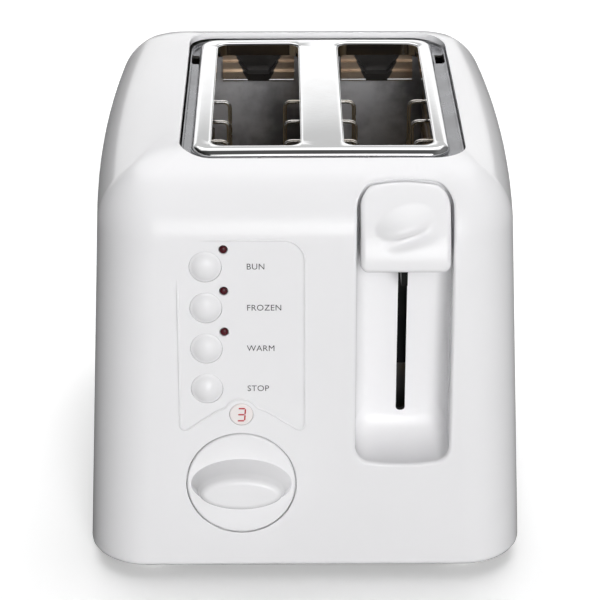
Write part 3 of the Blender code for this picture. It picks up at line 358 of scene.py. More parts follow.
plastics = {  # colour, second colour, gloss low and high, wave scale, grain scale, bump distance, coat
    "glossWhite": ((0.826, 0.822, 0.836), (0.812, 0.808, 0.822), 0.16, 0.225, 55, 2600, 0.00005, 0.35),
    # painted shade: the housing's inner walls are its white plastic darkened to grey
    "innerWhitePaintedShade": ((0.30, 0.30, 0.29), (0.26, 0.25, 0.24), 0.45, 0.6, 60, 1800, 0.0001, 0.0),
    "baseWhite": ((0.70, 0.70, 0.69), (0.66, 0.66, 0.65), 0.42, 0.55, 80, 1500, 0.0002, 0.0),
    "footRubber": ((0.62, 0.62, 0.61), (0.55, 0.55, 0.54), 0.6, 0.75, 90, 1100, 0.0003, 0.0),
    # black moulded parts, and painted shade on the lever slot's cut walls
    "blackMouldingAndPaintedShade": ((0.022, 0.022, 0.024), (0.035, 0.034, 0.034), 0.4, 0.6, 90, 1300, 0.0002, 0.0),
    "micaSheet": ((0.30, 0.22, 0.13), (0.46, 0.37, 0.25), 0.35, 0.65, 240, 900, 0.0003, 0.0),
    "circuitBoard": ((0.02, 0.13, 0.05), (0.04, 0.20, 0.08), 0.3, 0.45, 300, 1500, 0.0001, 0.0),
    "windowWhite": ((0.86, 0.81, 0.80), (0.80, 0.75, 0.74), 0.06, 0.12, 120, 2600, 0.00002, 0.8),
    "printInk": ((0.030, 0.030, 0.034), (0.045, 0.045, 0.05), 0.4, 0.55, 400, 3000, 0.00002, 0.0),
    "lampLens": ((0.045, 0.002, 0.006), (0.075, 0.004, 0.009), 0.14, 0.22, 200, 2500, 0.00002, 0.3),
}
metals = {  # colour, smudge colour, gloss low and high, line scale, stretch, bump distance
    "chrome": ((0.86, 0.865, 0.87), (0.83, 0.83, 0.83), 0.045, 0.085, 700, 1.0, 0.00001),
    "trayMetal": ((0.33, 0.335, 0.35), (0.27, 0.27, 0.28), 0.22, 0.36, 700, 0.06, 0.00005),
    "spangledSteel": ((0.80, 0.80, 0.83), (0.30, 0.30, 0.32), 0.42, 0.66, 260, 1.0, 0.0002),
    "warmSteel": ((0.62, 0.52, 0.42), (0.42, 0.32, 0.24), 0.25, 0.42, 700, 0.06, 0.0001),
    "pressedSteel": ((0.50, 0.50, 0.50), (0.40, 0.37, 0.33), 0.30, 0.48, 900, 0.04, 0.0001),
    # dark steel with brown smudges; on the vents' cut walls it is painted shade
    "darkSteel": ((0.16, 0.155, 0.15), (0.30, 0.22, 0.14), 0.34, 0.55, 900, 0.05, 0.0002),
    "brightWire": ((0.72, 0.71, 0.69), (0.55, 0.48, 0.38), 0.18, 0.34, 1600, 0.2, 0.00005),
    # painted shade: near-black steel for the carriage bracket, standing in for the dark seen through the lever
    # slot
    "paintedShadeSteel": ((0.020, 0.020, 0.021), (0.032, 0.030, 0.029), 0.42, 0.60, 900, 0.04, 0.0001),
    "heatRibbon": ((0.26, 0.24, 0.23), (0.36, 0.28, 0.22), 0.35, 0.6, 2000, 0.3, 0.0001),
    "screwSteel": ((0.42, 0.42, 0.43), (0.30, 0.29, 0.28), 0.28, 0.42, 1200, 1.0, 0.00005),
    "copperWinding": ((0.62, 0.27, 0.13), (0.45, 0.18, 0.09), 0.25, 0.45, 2400, 8.0, 0.0003),
}


paintedSlotShade = {  # painted shade in the bread slots: middle of the slots, half their pitch, (height, half width) low and high, colour
    "warmSteel": (0.0075, 0.0282, (0.163, 0.0050), (0.175, 0.0112), (0.085, 0.082, 0.080)),
}


def newFinish(name, groupName, values):
    # a material with its own shader and one of the shared effects, set to values
    material = bpy.data.materials.new(name)
    material.use_nodes = True
    w = Wires(material.node_tree)
    effect = w.add("ShaderNodeGroup", {"node_tree": groups[groupName]})
    for socket, value in values.items():
        effect.inputs[socket].default_value = value
    return material, w, material.node_tree.nodes["Principled BSDF"], effect.outputs


def linkSurface(w, shader, effect, tint, strength, bump):
    w.tree.links.new(tint, shader.inputs["Base Color"])
    w.tree.links.new(effect["Roughness"], shader.inputs["Roughness"])
    normal = w.add("ShaderNodeBump", None, Strength=strength, Distance=bump, Height=effect["Height"])
    w.tree.links.new(normal.outputs[0], shader.inputs["Normal"])


def plasticFinish(name):
    colour, second, low, high, wave, grain, bump, coat = plastics[name]
    values = {"Wave Scale": wave, "Grain Scale": grain, "Gloss Low": low, "Gloss High": high, "Dust Amount": 0.03}
    material, w, shader, effect = newFinish(name, "moulded", values)
    tint = w.mix(effect["Drift"], (*colour, 1), (*second, 1))
    tint = w.mix(effect["Dust"], tint, (0.75, 0.74, 0.72, 1))
    linkSurface(w, shader, effect, tint, 0.35, bump)
    shader.inputs["Coat Weight"].default_value = coat
    shader.inputs["Coat Roughness"].default_value = 0.12
    return material


def metalFinish(name):
    colour, smudge, low, high, lines, stretch, bump = metals[name]
    values = {"Line Scale": lines, "Stretch": stretch, "Smudge Scale": 45, "Gloss Low": low, "Gloss High": high}
    material, w, shader, effect = newFinish(name, "rolled", values)
    shader.inputs["Metallic"].default_value = 1.0
    tint = w.mix(effect["Smudge"], (*colour, 1), (*smudge, 1))
    if name in paintedSlotShade:  # painted shade: a dark patch in the middle of each bread slot, narrower lower down
        middle, wide, low, high, shadeColour = paintedSlotShade[name]
        axis = w.add("ShaderNodeSeparateXYZ", Vector=w.add("ShaderNodeTexCoord").outputs["Object"]).outputs
        off = w.math("ABSOLUTE", w.math("SUBTRACT", axis["X"], middle))
        off = w.math("ABSOLUTE", w.math("SUBTRACT", off, wide))
        reach = w.ramp(axis["Z"], low[0], high[0], low[1], high[1], "LINEAR")
        mask = w.ramp(w.math("SUBTRACT", off, reach), -0.0002, 0.0003, 1.0, 0.0)
        tint = w.mix(mask, tint, (*shadeColour, 1))
    linkSurface(w, shader, effect, tint, 0.4, bump)
    return material


def glowFinish(name, colour, strength):
    material, w, shader, effect = newFinish(name, "moulded", {})
    tint = w.mix(effect["Drift"], (*colour, 1), (colour[0] * 0.8, colour[1], colour[2], 1))
    w.tree.links.new(tint, shader.inputs["Base Color"])
    w.tree.links.new(tint, shader.inputs["Emission Color"])
    shader.inputs["Emission Strength"].default_value = strength
    return material


def floorFinish():
    material = bpy.data.materials.new("studioFloor")
    material.use_nodes = True
    w = Wires(material.node_tree)
    shader = material.node_tree.nodes["Principled BSDF"]
    place = w.add("ShaderNodeTexCoord").outputs["Object"]
    drift = w.add("ShaderNodeTexNoise", None, Vector=place, Scale=6.0, Detail=3.0).outputs[0]
    colour = studio["floorColour"]
    tint = w.mix(drift, (*colour, 1), (*[c * 0.99 for c in colour], 1))
    seen = w.add("ShaderNodeLightPath").outputs["Is Camera Ray"]
    tint = w.mix(seen, (*studio["floorBounce"], 1), tint)
    w.tree.links.new(tint, shader.inputs["Base Color"])
    shader.inputs["Roughness"].default_value = 0.7
    shader.inputs["Specular IOR Level"].default_value = 0.2
    shader.inputs["Emission Color"].default_value = (1, 1, 1, 1)
    w.tree.links.new(w.math("MULTIPLY", seen, studio["floorLift"]), shader.inputs["Emission Strength"])
    return material


def makeFloor():
    reach = studio["floorReach"]
    corners = [(-reach, -reach, 0), (reach, -reach, 0), (reach, reach, 0), (-reach, reach, 0)]
    floor = meshPiece("studioFloor", corners, [(0, 1, 2, 3)], floorFinish())
    print("floor laid")


finish = {name: plasticFinish(name) for name in plastics}
finish.update({name: metalFinish(name) for name in metals})
finish["digitGlow"] = glowFinish("digitGlow", (0.42, 0.010, 0.014), 0.18)
print("finishes made:", len(finish))


# the housing's own form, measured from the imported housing

shellLow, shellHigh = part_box("housing")
form = {
    "faceLean": math.radians(3.5),
    "sideLean": math.radians(2.75),
    "sideBulge": 0.0050,
    "cornerRadius": 0.024,
    "smallestCorner": 0.011,
    "baseRound": 0.003,
    "shoulderSide": 0.033,  # how far the shoulder reaches in from a side, and from an end
    "shoulderEnd": 0.043,
    "shoulderHeight": 0.030,
    "wall": 0.0025,
    "shaftHole": 0.0050,  # radius
    "wellGap": 0.00042,  # round the knob's disc
    "wellDepth": 0.0030,
    "openingCorner": 0.0140,
    "openingGap": 0.0003,
    "openingSoft": 0.0009,
    "trayPlay": 0.0006,
}
foot, top = shellLow.z, shellHigh.z
bodyY = (shellLow.y + shellHigh.y) / 2
halfLength = (shellHigh.y - shellLow.y) / 2 + form["baseRound"] * math.tan(form["faceLean"])
halfWidth = (shellHigh.x - shellLow.x) / 2 + form["baseRound"] * math.tan(form["sideLean"])
shoulder = top - form["shoulderHeight"]
faceTurn = Matrix.Rotation(math.pi / 2 - form["faceLean"], 4, "X")
faceMatrix = Matrix.Translation((0, bodyY - halfLength, foot)) @ faceTurn


def frontY(z):
    # y of the front skin at height z, over the shoulder too
    y = bodyY - halfLength + (min(z, shoulder) - foot) * math.tan(form["faceLean"])
    if z > shoulder:
        rise = min((z - shoulder) / form["shoulderHeight"], 0.995)
        y += form["shoulderEnd"] * (1 - math.sqrt(1 - rise * rise))
    return y


def faceSpot(node):
    # matrix of a control's axis where it passes through the front skin
    local = faceMatrix.inverted() @ boxMiddle(node)
    return faceMatrix @ Matrix.Translation((local.x, local.y, 0))


def knobRadius():
    low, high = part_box("browning_knob")
    return (high.x - low.x) / 2


def bodyRing(z, insetX, insetY, shrink=0, cornerSteps=16, sideSteps=12):
    rise = min(z, shoulder) - foot
    bulge = form["sideBulge"]
    halfX = halfWidth - bulge - rise * math.tan(form["sideLean"]) - insetX - shrink
    halfY = halfLength - rise * math.tan(form["faceLean"]) - insetY - shrink
    radius = max(form["cornerRadius"] - min(insetX, insetY), form["smallestCorner"]) - shrink
    outline = roundedOutline(halfX, halfY, radius, cornerSteps, 1, sideSteps)
    return [(x * (1 + bulge / halfX * (1 - (y / halfY) ** 2)), y + bodyY, z) for x, y in outline]


def bodyRings(shrink=0, cornerSteps=16, sideSteps=12, shoulderSteps=22):
    rings = []
    roundSize = form["baseRound"]
    for i in range(5):
        turn = math.pi / 2 * i / 4
        inset = roundSize * (1 - math.sin(turn))
        z = foot + roundSize * (1 - math.cos(turn))
        rings.append(bodyRing(z, inset, inset, shrink, cornerSteps, sideSteps))
    if shrink:
        rings.insert(0, [(x, y, 0) for x, y, z in rings[0]])
    low = foot + roundSize
    for i in (1, 2, 3):
        rings.append(bodyRing(low + (shoulder - low) * i / 3, 0, 0, shrink, cornerSteps, sideSteps))
    for i in range(1, shoulderSteps + 1):
        turn = math.pi / 2 * i / shoulderSteps
        drawnIn = 1 - math.cos(turn)
        z = shoulder + (form["shoulderHeight"] - shrink) * math.sin(turn)
        insets = (form["shoulderSide"] * drawnIn, form["shoulderEnd"] * drawnIn)
        rings.append(bodyRing(z, *insets, shrink, cornerSteps, sideSteps))
    return rings


leverLow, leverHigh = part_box("lever_knob")
recess = {
    "clearance": 0.0021,  # beside the lever
    "floor": 0.0540,
    "top": 0.1764,
    "bottomCorner": 0.0055,
    "topCorner": 0.0075,
    "bottomSag": 0.0022,
    "topSag": 0.0016,
    "rim": 0.0014,  # radius of the rounded rim
    "sideFillet": 0.0062,
    "scoopDepth": 0.0195,  # the floor curves up into the back wall
    "scoopHeight": 0.0150,
    "leastDepth": 0.0030,
    "slotWidth": 0.0039,
    "slotEnds": (0.0690, 0.1443),
    "mouthFlare": 0.0040,  # how far the cutter widens in front of the skin
    "rimSteep": math.radians(78),
    "topBlockFrom": 0.1600,
}
recess["x"] = (leverLow.x + leverHigh.x) / 2
recess["half"] = (leverHigh.x - leverLow.x) / 2 + recess["clearance"]
recess["back"] = leverHigh.y + 0.0010


def recessOutline(grow):
    # front view of the lever's recess: (x, z) points, grown outwards by grow
    half = recess["half"] + grow
    low, high = recess["floor"] - grow, recess["top"] + grow
    middle = (low + high) / 2
    corners = recess["topCorner"] + grow, recess["bottomCorner"] + grow
    made = []
    for x, z in roundedOutline(half, (high - low) / 2, corners[0], 8, 12, 20, (0, middle), corners[1]):
        share = min(1, abs(x) / half) ** 2
        sag = recess["bottomSag"] if z < middle else -recess["topSag"]
        made.append((recess["x"] + x, z + sag * share))
    return made


def filletReach(depth, radius):
    # how far a side fillet of this radius comes in at a depth in front of the back wall
    return radius * (1 - math.sqrt(max(0, 1 - (1 - min(depth, radius) / radius) ** 2)))


def recessCutter():
    # the recess as a solid: flared rim, straight walls, scooped floor and rounded back corners
    rim, steep, flare = recess["rim"], recess["rimSteep"], recess["mouthFlare"]
    endGrow, endDepth = rim * (1 - math.cos(steep)), rim * (1 - math.sin(steep))
    far = [(endGrow + flare, endDepth - flare / math.tan(steep))]
    rings = [[(x, -0.2, z) for x, z in recessOutline(endGrow + flare)]]  # flat, well in front of the skin
    turns = [steep * (1 - i / 7) for i in range(8)]
    mouth = [(rim * (1 - math.cos(t)), rim * (1 - math.sin(t))) for t in turns]
    for grow, depth in far + mouth:
        rings.append([(x, frontY(z) + depth, z) for x, z in recessOutline(grow)])
    walls = recessOutline(0)
    middle = (recess["floor"] + recess["top"]) / 2
    for i in range(1, 25):
        share = 1 - (1 - i / 24) ** 1.6  # closer together near the back
        ring = []
        for x, z in walls:
            start = frontY(z) + rim
            back = max(recess["back"], start - rim + recess["leastDepth"])
            y = start + (back - start) * share
            left = back - y
            side = min(recess["sideFillet"], 0.8 * (back - start))
            inX = filletReach(left, side)
            newX = recess["x"] + (x - recess["x"]) * (1 - inX / recess["half"])
            if z < middle:
                scoop = min(1, left / recess["scoopDepth"])
                inZ = recess["scoopHeight"] * (1 - math.sqrt(max(0, 1 - (1 - scoop) ** 2)))
                newZ = middle - (middle - z) * (1 - inZ / (middle - recess["floor"]))
            else:
                newZ = middle + (z - middle) * (1 - min(inX, 0.002) / (recess["top"] - middle))
            ring.append((newX, y, newZ))
        rings.append(ring)
    return loft("recessCutter", rings, None, (True, "rungs"), 180)


def faceCutter(name, node, radius, depth, chamfer, steps):
    # a round hole or well in the front skin, with a small softened mouth
    place = faceSpot(node)
    turns = (1.35, 1.0, 0.65, 0.3, 0)
    mouth = [(radius + chamfer * (1 - math.cos(t)), -chamfer * (1 - math.sin(t))) for t in turns]
    start = mouth[0]
    profile = [(0, 0.006), (start[0] + 0.0025, 0.006), (start[0] + 0.0025, start[1] + 0.00055)] + mouth
    profile += [(radius, -depth), (0, -depth)]
    return turned(name, profile, steps, place, None, 40)


def boxCutter(name, low, high):
    corners = [(low[0], low[1]), (high[0], low[1]), (high[0], high[1]), (low[0], high[1])]
    rings = [[(x, y, z) for x, y in corners] for z in (low[2], high[2])]
    return loft(name, rings)


def topOpeningCutter():
    # rim of the top opening, softened where it meets the flat top
    low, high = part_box("top_bezel")
    centre = ((low.x + high.x) / 2, (low.y + high.y) / 2)
    gap, soft = form["openingGap"], form["openingSoft"]
    steps = [(top + 0.01, soft + 0.004), (top + 0.0008, soft + 0.004), (top + 0.00005, soft * 0.9)]
    steps += [(top - soft * (1 - math.sin(t)), soft * (1 - math.cos(t))) for t in (1.2, 0.9, 0.6, 0.3, 0)]
    steps.append((top - 0.03, 0))
    rings = []
    for z, grow in steps:
        halfX, halfY = (high.x - low.x) / 2 + gap + grow, (high.y - low.y) / 2 + gap + grow
        outline = roundedOutline(halfX, halfY, form["openingCorner"] + gap + grow, 14, 1, 1, centre)
        rings.append([(x, y, z) for x, y in outline])
    return loft("topOpeningCutter", rings)


def housingCavity():
    # the hollow inside the walls, which leaves room for the recess and the knob's well
    wall, back = form["wall"], recess["back"]
    # painted shade: the cavity's faces take the darkened copy of the white plastic
    cavity = loft("cavityCutter", bodyRings(wall, 6, 4, 6), finish["innerWhitePaintedShade"])
    side = recess["half"] + wall
    left, right = recess["x"] - side, recess["x"] + side
    low = (left, -0.2, recess["floor"] - wall)
    carve(cavity, boxCutter("recessBlock", low, (right, back + wall, top + 0.01)))
    low = (left, -0.2, recess["topBlockFrom"])
    high = (right, back + wall + recess["leastDepth"] + 0.0015, top + 0.01)
    carve(cavity, boxCutter("recessTopBlock", low, high))
    radius = knobRadius() + 0.0025
    well = [(0, 0.02), (radius, 0.02), (radius, -0.0055), (0, -0.0055)]
    carve(cavity, turned("wellBlock", well, 40, faceSpot("knob_shaft")))
    settle(cavity, 35, False)
    return cavity


def leverSlotCutter():
    low, high = recess["slotEnds"]
    across = recess["slotWidth"] / 2
    outline = roundedOutline(across, (high - low) / 2, across * 0.8, 6, 1, 1, (recess["x"], (low + high) / 2))
    slot = loft("leverSlot", [[(x, recess["back"] + y, z) for x, z in outline] for y in (-0.003, 0.01)])
    # painted shade: the slot's cut walls take this black finish, so the housing is black inside the slot
    slot.data.materials.append(finish["blackMouldingAndPaintedShade"])
    return slot


def makeHousing():
    shell = loft("housingShell", bodyRings(), finish["glossWhite"])
    cavity = housingCavity()
    carve(shell, recessCutter())
    carve(shell, leverSlotCutter())
    radius = knobRadius() + form["wellGap"]
    carve(shell, faceCutter("knobWell", "knob_shaft", radius, form["wellDepth"], 0.0003, 96))
    carve(shell, faceCutter("shaftHole", "knob_shaft", form["shaftHole"], 0.012, 0.0002, 32))
    for name in words:
        carve(shell, faceCutter(name + "Hole", name + "_button", buttonSizes["hole"], 0.010, 0.0002, 56))
        if name in lampNames:
            carve(shell, faceCutter(name + "LampHole", name + "_lamp", lampSizes["hole"], 0.010, 0.0002, 28))
    carve(shell, faceCutter("displayHole", "display_lens", displaySizes["hole"], 0.010, 0.0002, 48))
    carve(shell, topOpeningCutter())
    carve(shell, cavity)
    trayLow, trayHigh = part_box("crumb_tray")
    play, rear = form["trayPlay"], bodyY + halfLength
    low = (trayLow.x - play, rear - 0.02, trayLow.z - play)
    carve(shell, boxCutter("trayDoorway", low, (trayHigh.x + play, rear + 0.02, trayHigh.z + play)))
    place = Matrix.Translation(boxMiddle("cord_bush")) @ Matrix.Rotation(-math.pi / 2, 4, "X")
    radius = cordBushSizes["hole"]
    hole = [(0, 0.015), (radius, 0.015), (radius, -0.015), (0, -0.015)]
    carve(shell, turned("cordHole", hole, 40, place))
    settle(shell, 38)
    stand(shell, "toaster", "housing", "housing")
    print("housing shell made:", len(shell.data.polygons), "faces")


# the bezel: a pressed tray in the top opening, with a raised panel round the two slots

bezelSizes = {
    "rise": 0.0040,  # of the panel above the tray
    "edgeRound": 0.0032,
    "slotRound": 0.0013,
    "slotDepth": 0.0062,
    "slotLength": 0.1318,
    "slotWidth": 0.0382,
    "slotWeb": 0.0182,
    "slotCorner": 0.0050,
    "panelMargin": 0.0067,
    "panelLeft": 0.0018,  # the panel reaches a little further to the left and to the back than to the right
    "panelBack": 0.0014,
    "panelCorner": 0.0090,
    "crown": 0.0007,
    "sheet": 0.0010,
    "trayRim": (  # up from the tray, and inwards
        (0.0009, 0), (0.0012, -0.0004), (0.0009, -0.0009), (0.0004, -0.0012), (0, -0.0018),
    ),
    "ventWidth": 0.0044,
    "ventEnds": (0.014, 0.026),  # from the panel's back edge
    "ventAside": 0.0030,
}


def bezelPlaces():
    # middle of the panel, its half sizes, and the two slots' middles
    low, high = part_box("top_bezel")
    b = bezelSizes
    middle = ((low.x + high.x) / 2, high.y - 0.0055 - b["panelMargin"] - b["slotLength"] / 2)
    halfX = b["slotWeb"] / 2 + b["slotWidth"] + b["panelMargin"]
    halfY = b["slotLength"] / 2 + b["panelMargin"]
    pitch = b["slotWidth"] + b["slotWeb"]
    return middle, halfX, halfY, [(middle[0] + side * pitch / 2, middle[1]) for side in (-1, 1)]


def slotCutter(name, centre, surface):
    # a bread slot with a rolled edge
    b = bezelSizes
    soft = b["slotRound"]
    steps = [(surface + 0.004, soft + 0.003), (surface + 0.0006, soft + 0.003), (surface - 0.00003, soft * 0.96)]
    turns = (1.25, 1.0, 0.75, 0.5, 0.25, 0)
    steps += [(surface - soft * (1 - math.sin(t)), soft * (1 - math.cos(t))) for t in turns]
    steps.append((surface - 0.02, 0))
    rings = []
    for z, grow in steps:
        outline = roundedOutline(
            b["slotWidth"] / 2 + grow, b["slotLength"] / 2 + grow, b["slotCorner"] + grow, 12, 1, 1, centre
        )
        rings.append([(x, y, z) for x, y in outline])
    return loft(name, rings)


def crownPanel(mesh, middle, halfX, halfY):
    # the panel bows a little, so that its mirror isn't dead flat
    work = bmesh.new()
    work.from_mesh(mesh)
    for axis, half, count in ((1, halfY, 30), (0, halfX, 14)):
        normal = [0, 0, 0]
        normal[axis] = 1
        for i in range(1, count):
            point = [0, 0, 0]
            point[axis] = middle[axis] - half + 2 * half * i / count
            geometry = list(work.verts) + list(work.edges) + list(work.faces)
            bmesh.ops.bisect_plane(work, geom=geometry, plane_co=point, plane_no=normal, dist=1e-7)
    for vert in work.verts:
        across = (vert.co.x - middle[0]) / halfX
        along = (vert.co.y - middle[1]) / halfY
        frontDrop = 0.5 * along**6 if along < 0 else 0
        vert.co.z -= bezelSizes["crown"] * (0.35 * across**2 + 0.65 * along**2 + frontDrop)
    work.to_mesh(mesh)
    work.free()


def makePanel(middle, halfX, halfY, slots, surface):
    b = bezelSizes
    soft = b["edgeRound"]
    spreadX, spreadBack = b["panelLeft"] / 2, b["panelBack"] / 2
    panelMiddle = (middle[0] - spreadX, middle[1] + spreadBack)
    halfX, halfY = halfX + spreadX, halfY + spreadBack
    steps = [(surface - b["rise"] - 0.0006, 0.0), (surface - soft, 0.0)]
    turns = [0.157 * i for i in range(1, 11)]
    steps += [(surface - soft * (1 - math.sin(t)), -soft * (1 - math.cos(t))) for t in turns]
    rings = []
    for z, grow in steps:
        outline = roundedOutline(halfX + grow, halfY + grow, b["panelCorner"] + grow, 14, 1, 1, panelMiddle)
        rings.append([(x, y, z) for x, y in outline])
    panel = loft("bezelPanel", rings, finish["chrome"])
    for i, centre in enumerate(slots):
        carve(panel, slotCutter(f"slotCutter{i}", centre, surface))
    settle(panel, 35, False)
    crownPanel(panel.data, panelMiddle, halfX, halfY)
    panel.data.shade_smooth()
    panel.data.set_sharp_from_angle(angle=math.radians(40))
    stand(panel, "toaster", "top_bezel", "top_bezel")


def makeTray(low, high, middle, halfX, halfY, slots):
    b = bezelSizes
    floorTop = high.z - b["rise"]
    centre = ((low.x + high.x) / 2, (low.y + high.y) / 2)
    rings = []
    for lift, grow in ((-b["sheet"], 0), *b["trayRim"]):
        halfOut = (high.x - low.x) / 2 + grow, (high.y - low.y) / 2 + grow
        outline = roundedOutline(*halfOut, form["openingCorner"] + grow, 14, 1, 1, centre)
        rings.append([(x, y, floorTop + lift) for x, y in outline])
    tray = loft("bezelTray", rings, finish["trayMetal"])
    half, (near, far) = b["ventWidth"] / 2, b["ventEnds"]
    for side in (-1, 1):
        x = middle[0] + side * (halfX + b["ventAside"])
        low, high = (x - half, middle[1] + halfY - far), (x + half, middle[1] + halfY - near)
        vent = boxCutter(f"ventCutter{side}", (*low, floorTop - 0.01), (*high, floorTop + 0.01))
        # painted shade: the vents' cut walls take the dark steel
        vent.data.materials.append(finish["darkSteel"])
        carve(tray, vent)
    for i, centre in enumerate(slots):
        carve(tray, slotCutter(f"traySlot{i}", centre, floorTop + 0.002))
    settle(tray, 35)
    stand(tray, "toaster", "top_bezel")


def makeSlotLip(i, centre, surface):
    # the turned-down lip inside a slot
    b = bezelSizes
    high, low = surface - 0.0011, surface - b["slotDepth"]
    rings = []
    for grow, z in ((-0.0001, high), (-0.0001, low), (0.0007, low), (0.0007, high)):
        halfX, halfY = b["slotWidth"] / 2 + grow, b["slotLength"] / 2 + grow
        outline = roundedOutline(halfX, halfY, b["slotCorner"], 12, 1, 1, centre)
        rings.append([(x, y, z) for x, y in outline])
    lip = loft(f"slotLip{i}", rings + rings[:1], finish["chrome"], (False, False))
    stand(lip, "toaster", "top_bezel")


def makeBezel():
    low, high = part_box("top_bezel")
    middle, halfX, halfY, slots = bezelPlaces()
    makePanel(middle, halfX, halfY, slots, high.z)
    makeTray(low, high, middle, halfX, halfY, slots)
    for i, centre in enumerate(slots):
        makeSlotLip(i, centre, high.z)
    print("bezel made")


# the push-down lever: a sloping thumb piece with a leaf-shaped grip

leverSizes = {
    "sideGrow": 0.0007,
    "rim": 0.0021,
    "topCorner": 0.0060,
    "bottomCorner": 0.0032,
    "topSag": 0.0016,
    "slopePower": 2.2,
    "leafTilt": 17,
    "leafUp": 0.0036,
    "leafLeft": 0.0006,
    "leafSteep": 1.12,  # the sloping face makes the leaf look taller
    "leafLength": 0.0128,  # half
    "leafWidth": 0.0066,
    "leafRise": 0.0046,
    "grooveDepth": 0.0017,
    "backGap": 0.0010,  # behind the lever
    "socketHalf": 0.0016,  # for the carriage's arm
    "socketFrom": 0.0075,
    "socketTop": 0.0165,
}


def leverOutline(shrink):
    low, high = leverLow.z + shrink, leverHigh.z - shrink
    half = (leverHigh.x - leverLow.x) / 2 - shrink
    middle = (low + high) / 2
    corners = [max(0.0006, leverSizes[corner] - shrink) for corner in ("topCorner", "bottomCorner")]
    made = []
    for x, z in roundedOutline(half, (high - low) / 2, corners[0], 8, 16, 16, (0, middle), corners[1]):
        sag = leverSizes["topSag"] * (x / half) ** 2 if z > middle else 0
        made.append((recess["x"] + x, z - sag))
    return made


def leverFace(z):
    share = (z - leverLow.z) / (leverHigh.z - leverLow.z)
    foot, head = leverLow.y, leverHigh.y - 0.0012
    return foot + (head - foot) * max(0, share) ** leverSizes["slopePower"]


def leafRise(x, z):
    # a soft raised leaf for the thumb, with a shallow groove along its lower side
    turn = math.radians(leverSizes["leafTilt"])
    dx = x - recess["x"] + leverSizes["leafLeft"]
    dz = (z - (leverLow.z + leverHigh.z) / 2 - leverSizes["leafUp"]) * leverSizes["leafSteep"]
    along = (dx * math.cos(turn) + dz * math.sin(turn)) / leverSizes["leafLength"]
    across = (-dx * math.sin(turn) + dz * math.cos(turn)) / leverSizes["leafWidth"]
    body = max(0, 1 - along**2 - across**2) ** 1.3
    fade = max(0, 1 - along**2) ** 1.5
    groove = fade * math.exp(-(((across + 1.15) / 0.36) ** 2))
    return leverSizes["leafRise"] * body - leverSizes["grooveDepth"] * groove


def leverRings():
    rim, grow, back = leverSizes["rim"], leverSizes["sideGrow"], leverHigh.y
    centreX, centreZ = recess["x"], (leverLow.z + leverHigh.z) / 2
    halfWide = (leverHigh.x - leverLow.x) / 2
    outer = leverOutline(0)
    rings = []
    for share in (0, 0.08, 0.18, 0.32, 0.5, 1):  # the sides follow the recess's fillets
        ring = []
        for x, z in outer:
            y = back + (min(back - 0.0003, leverFace(z) + rim) - back) * share
            inX = filletReach(back - y + leverSizes["backGap"], recess["sideFillet"])
            inX -= grow * min(1, (back - y) / 0.003)
            ring.append((centreX + (x - centreX) * (1 - inX / halfWide), y, z))
        rings.append(ring)
    for i in range(1, 9):
        turn = math.pi / 2 * i / 8
        ring = []
        for (x, z), (_, outerZ) in zip(leverOutline(rim * (1 - math.cos(turn))), outer):
            thick = back - leverFace(outerZ)
            soft = min(rim, max(0.0004, (thick - 0.0004) * 0.9))
            wide = 1 + grow * min(1, thick / 0.003) / halfWide
            ring.append((centreX + (x - centreX) * wide, leverFace(z) + soft * (1 - math.sin(turn)), z))
        rings.append(ring)
    inner = [(x, z) for x, y, z in rings[-1]]
    for i in range(1, 34):
        share = 1 - i / 34
        ring = []
        for x, z in inner:
            px, pz = centreX + (x - centreX) * share, centreZ + (z - centreZ) * share
            ring.append((px, leverFace(pz) - leafRise(px, pz), pz))
        rings.append(ring)
    rings.append([(centreX, leverFace(centreZ) - leafRise(centreX, centreZ), centreZ)])
    return rings


def makeLever():
    sizes = leverSizes
    lever = loft("leverThumbPiece", leverRings(), finish["glossWhite"], (True, False), 45)
    low = (recess["x"] - sizes["socketHalf"], leverLow.y + sizes["socketFrom"], leverLow.z - 0.01)
    high = (recess["x"] + sizes["socketHalf"], leverHigh.y + 0.01, leverLow.z + sizes["socketTop"])
    carve(lever, boxCutter("leverSocket", low, high))
    settle(lever, 45, False)
    stand(lever, "carriage", "lever_knob", "lever_knob")
    print("lever made")


# the browning knob: a flush disc with a tall rounded grip across it

knobSizes = {
    "wellDepth": 0.0024,
    "edgeRound": 0.0009,
    "dish": 0.0007,
    "gripHeight": 0.0115,
    "baseReach": (0.965, 0.50),  # half the grip's foot, as shares of the knob's radius
    "frontReach": (0.76, 0.335),
    "frontRound": 0.0030,
    "gripSink": 0.0012,  # of the grip's foot into the disc
    "flareAt": (0.03, 0.07, 0.12, 0.18, 0.26, 0.36, 0.48, 0.62, 0.74),
    "steps": 96,
}


def knobGripRings(radius, place):
    k = knobSizes
    rise, soft, sink = k["gripHeight"], k["frontRound"], k["gripSink"]
    base, front = k["baseReach"], k["frontReach"]
    start = 1 - soft / rise
    levels = [(0, 1.0, 0.0)]  # share of the height, flare, and how far the outline has shrunk
    levels += [(share, (1 - share) ** 1.7, 0.0) for share in k["flareAt"] if share < start]
    levels.append((start, (1 - start) ** 1.7, 0.0))
    for i in range(1, 9):
        turn = math.pi / 2 * i / 8
        levels.append((start + (1 - start) * math.sin(turn), 0.0, soft * (1 - math.cos(turn))))
    turns = [2 * math.pi * i / k["steps"] for i in range(k["steps"])]

    def oval(halfX, halfY, z):
        return [place @ Vector((halfX * math.cos(t), halfY * math.sin(t), z)) for t in turns]

    rings = []
    for share, flare, shrink in levels:
        halfX = radius * (front[0] + (base[0] - front[0]) * flare) - shrink * 1.3
        halfY = radius * (front[1] + (base[1] - front[1]) * flare) - shrink
        rings.append(oval(halfX, halfY, -sink + (rise + sink) * share))
    for shrink in (0.93, 0.8, 0.6, 0.3):
        rings.append(oval((radius * front[0] - soft * 1.3) * shrink, (radius * front[1] - soft) * shrink, rise))
    return rings + [[place @ Vector((0, 0, rise))]]


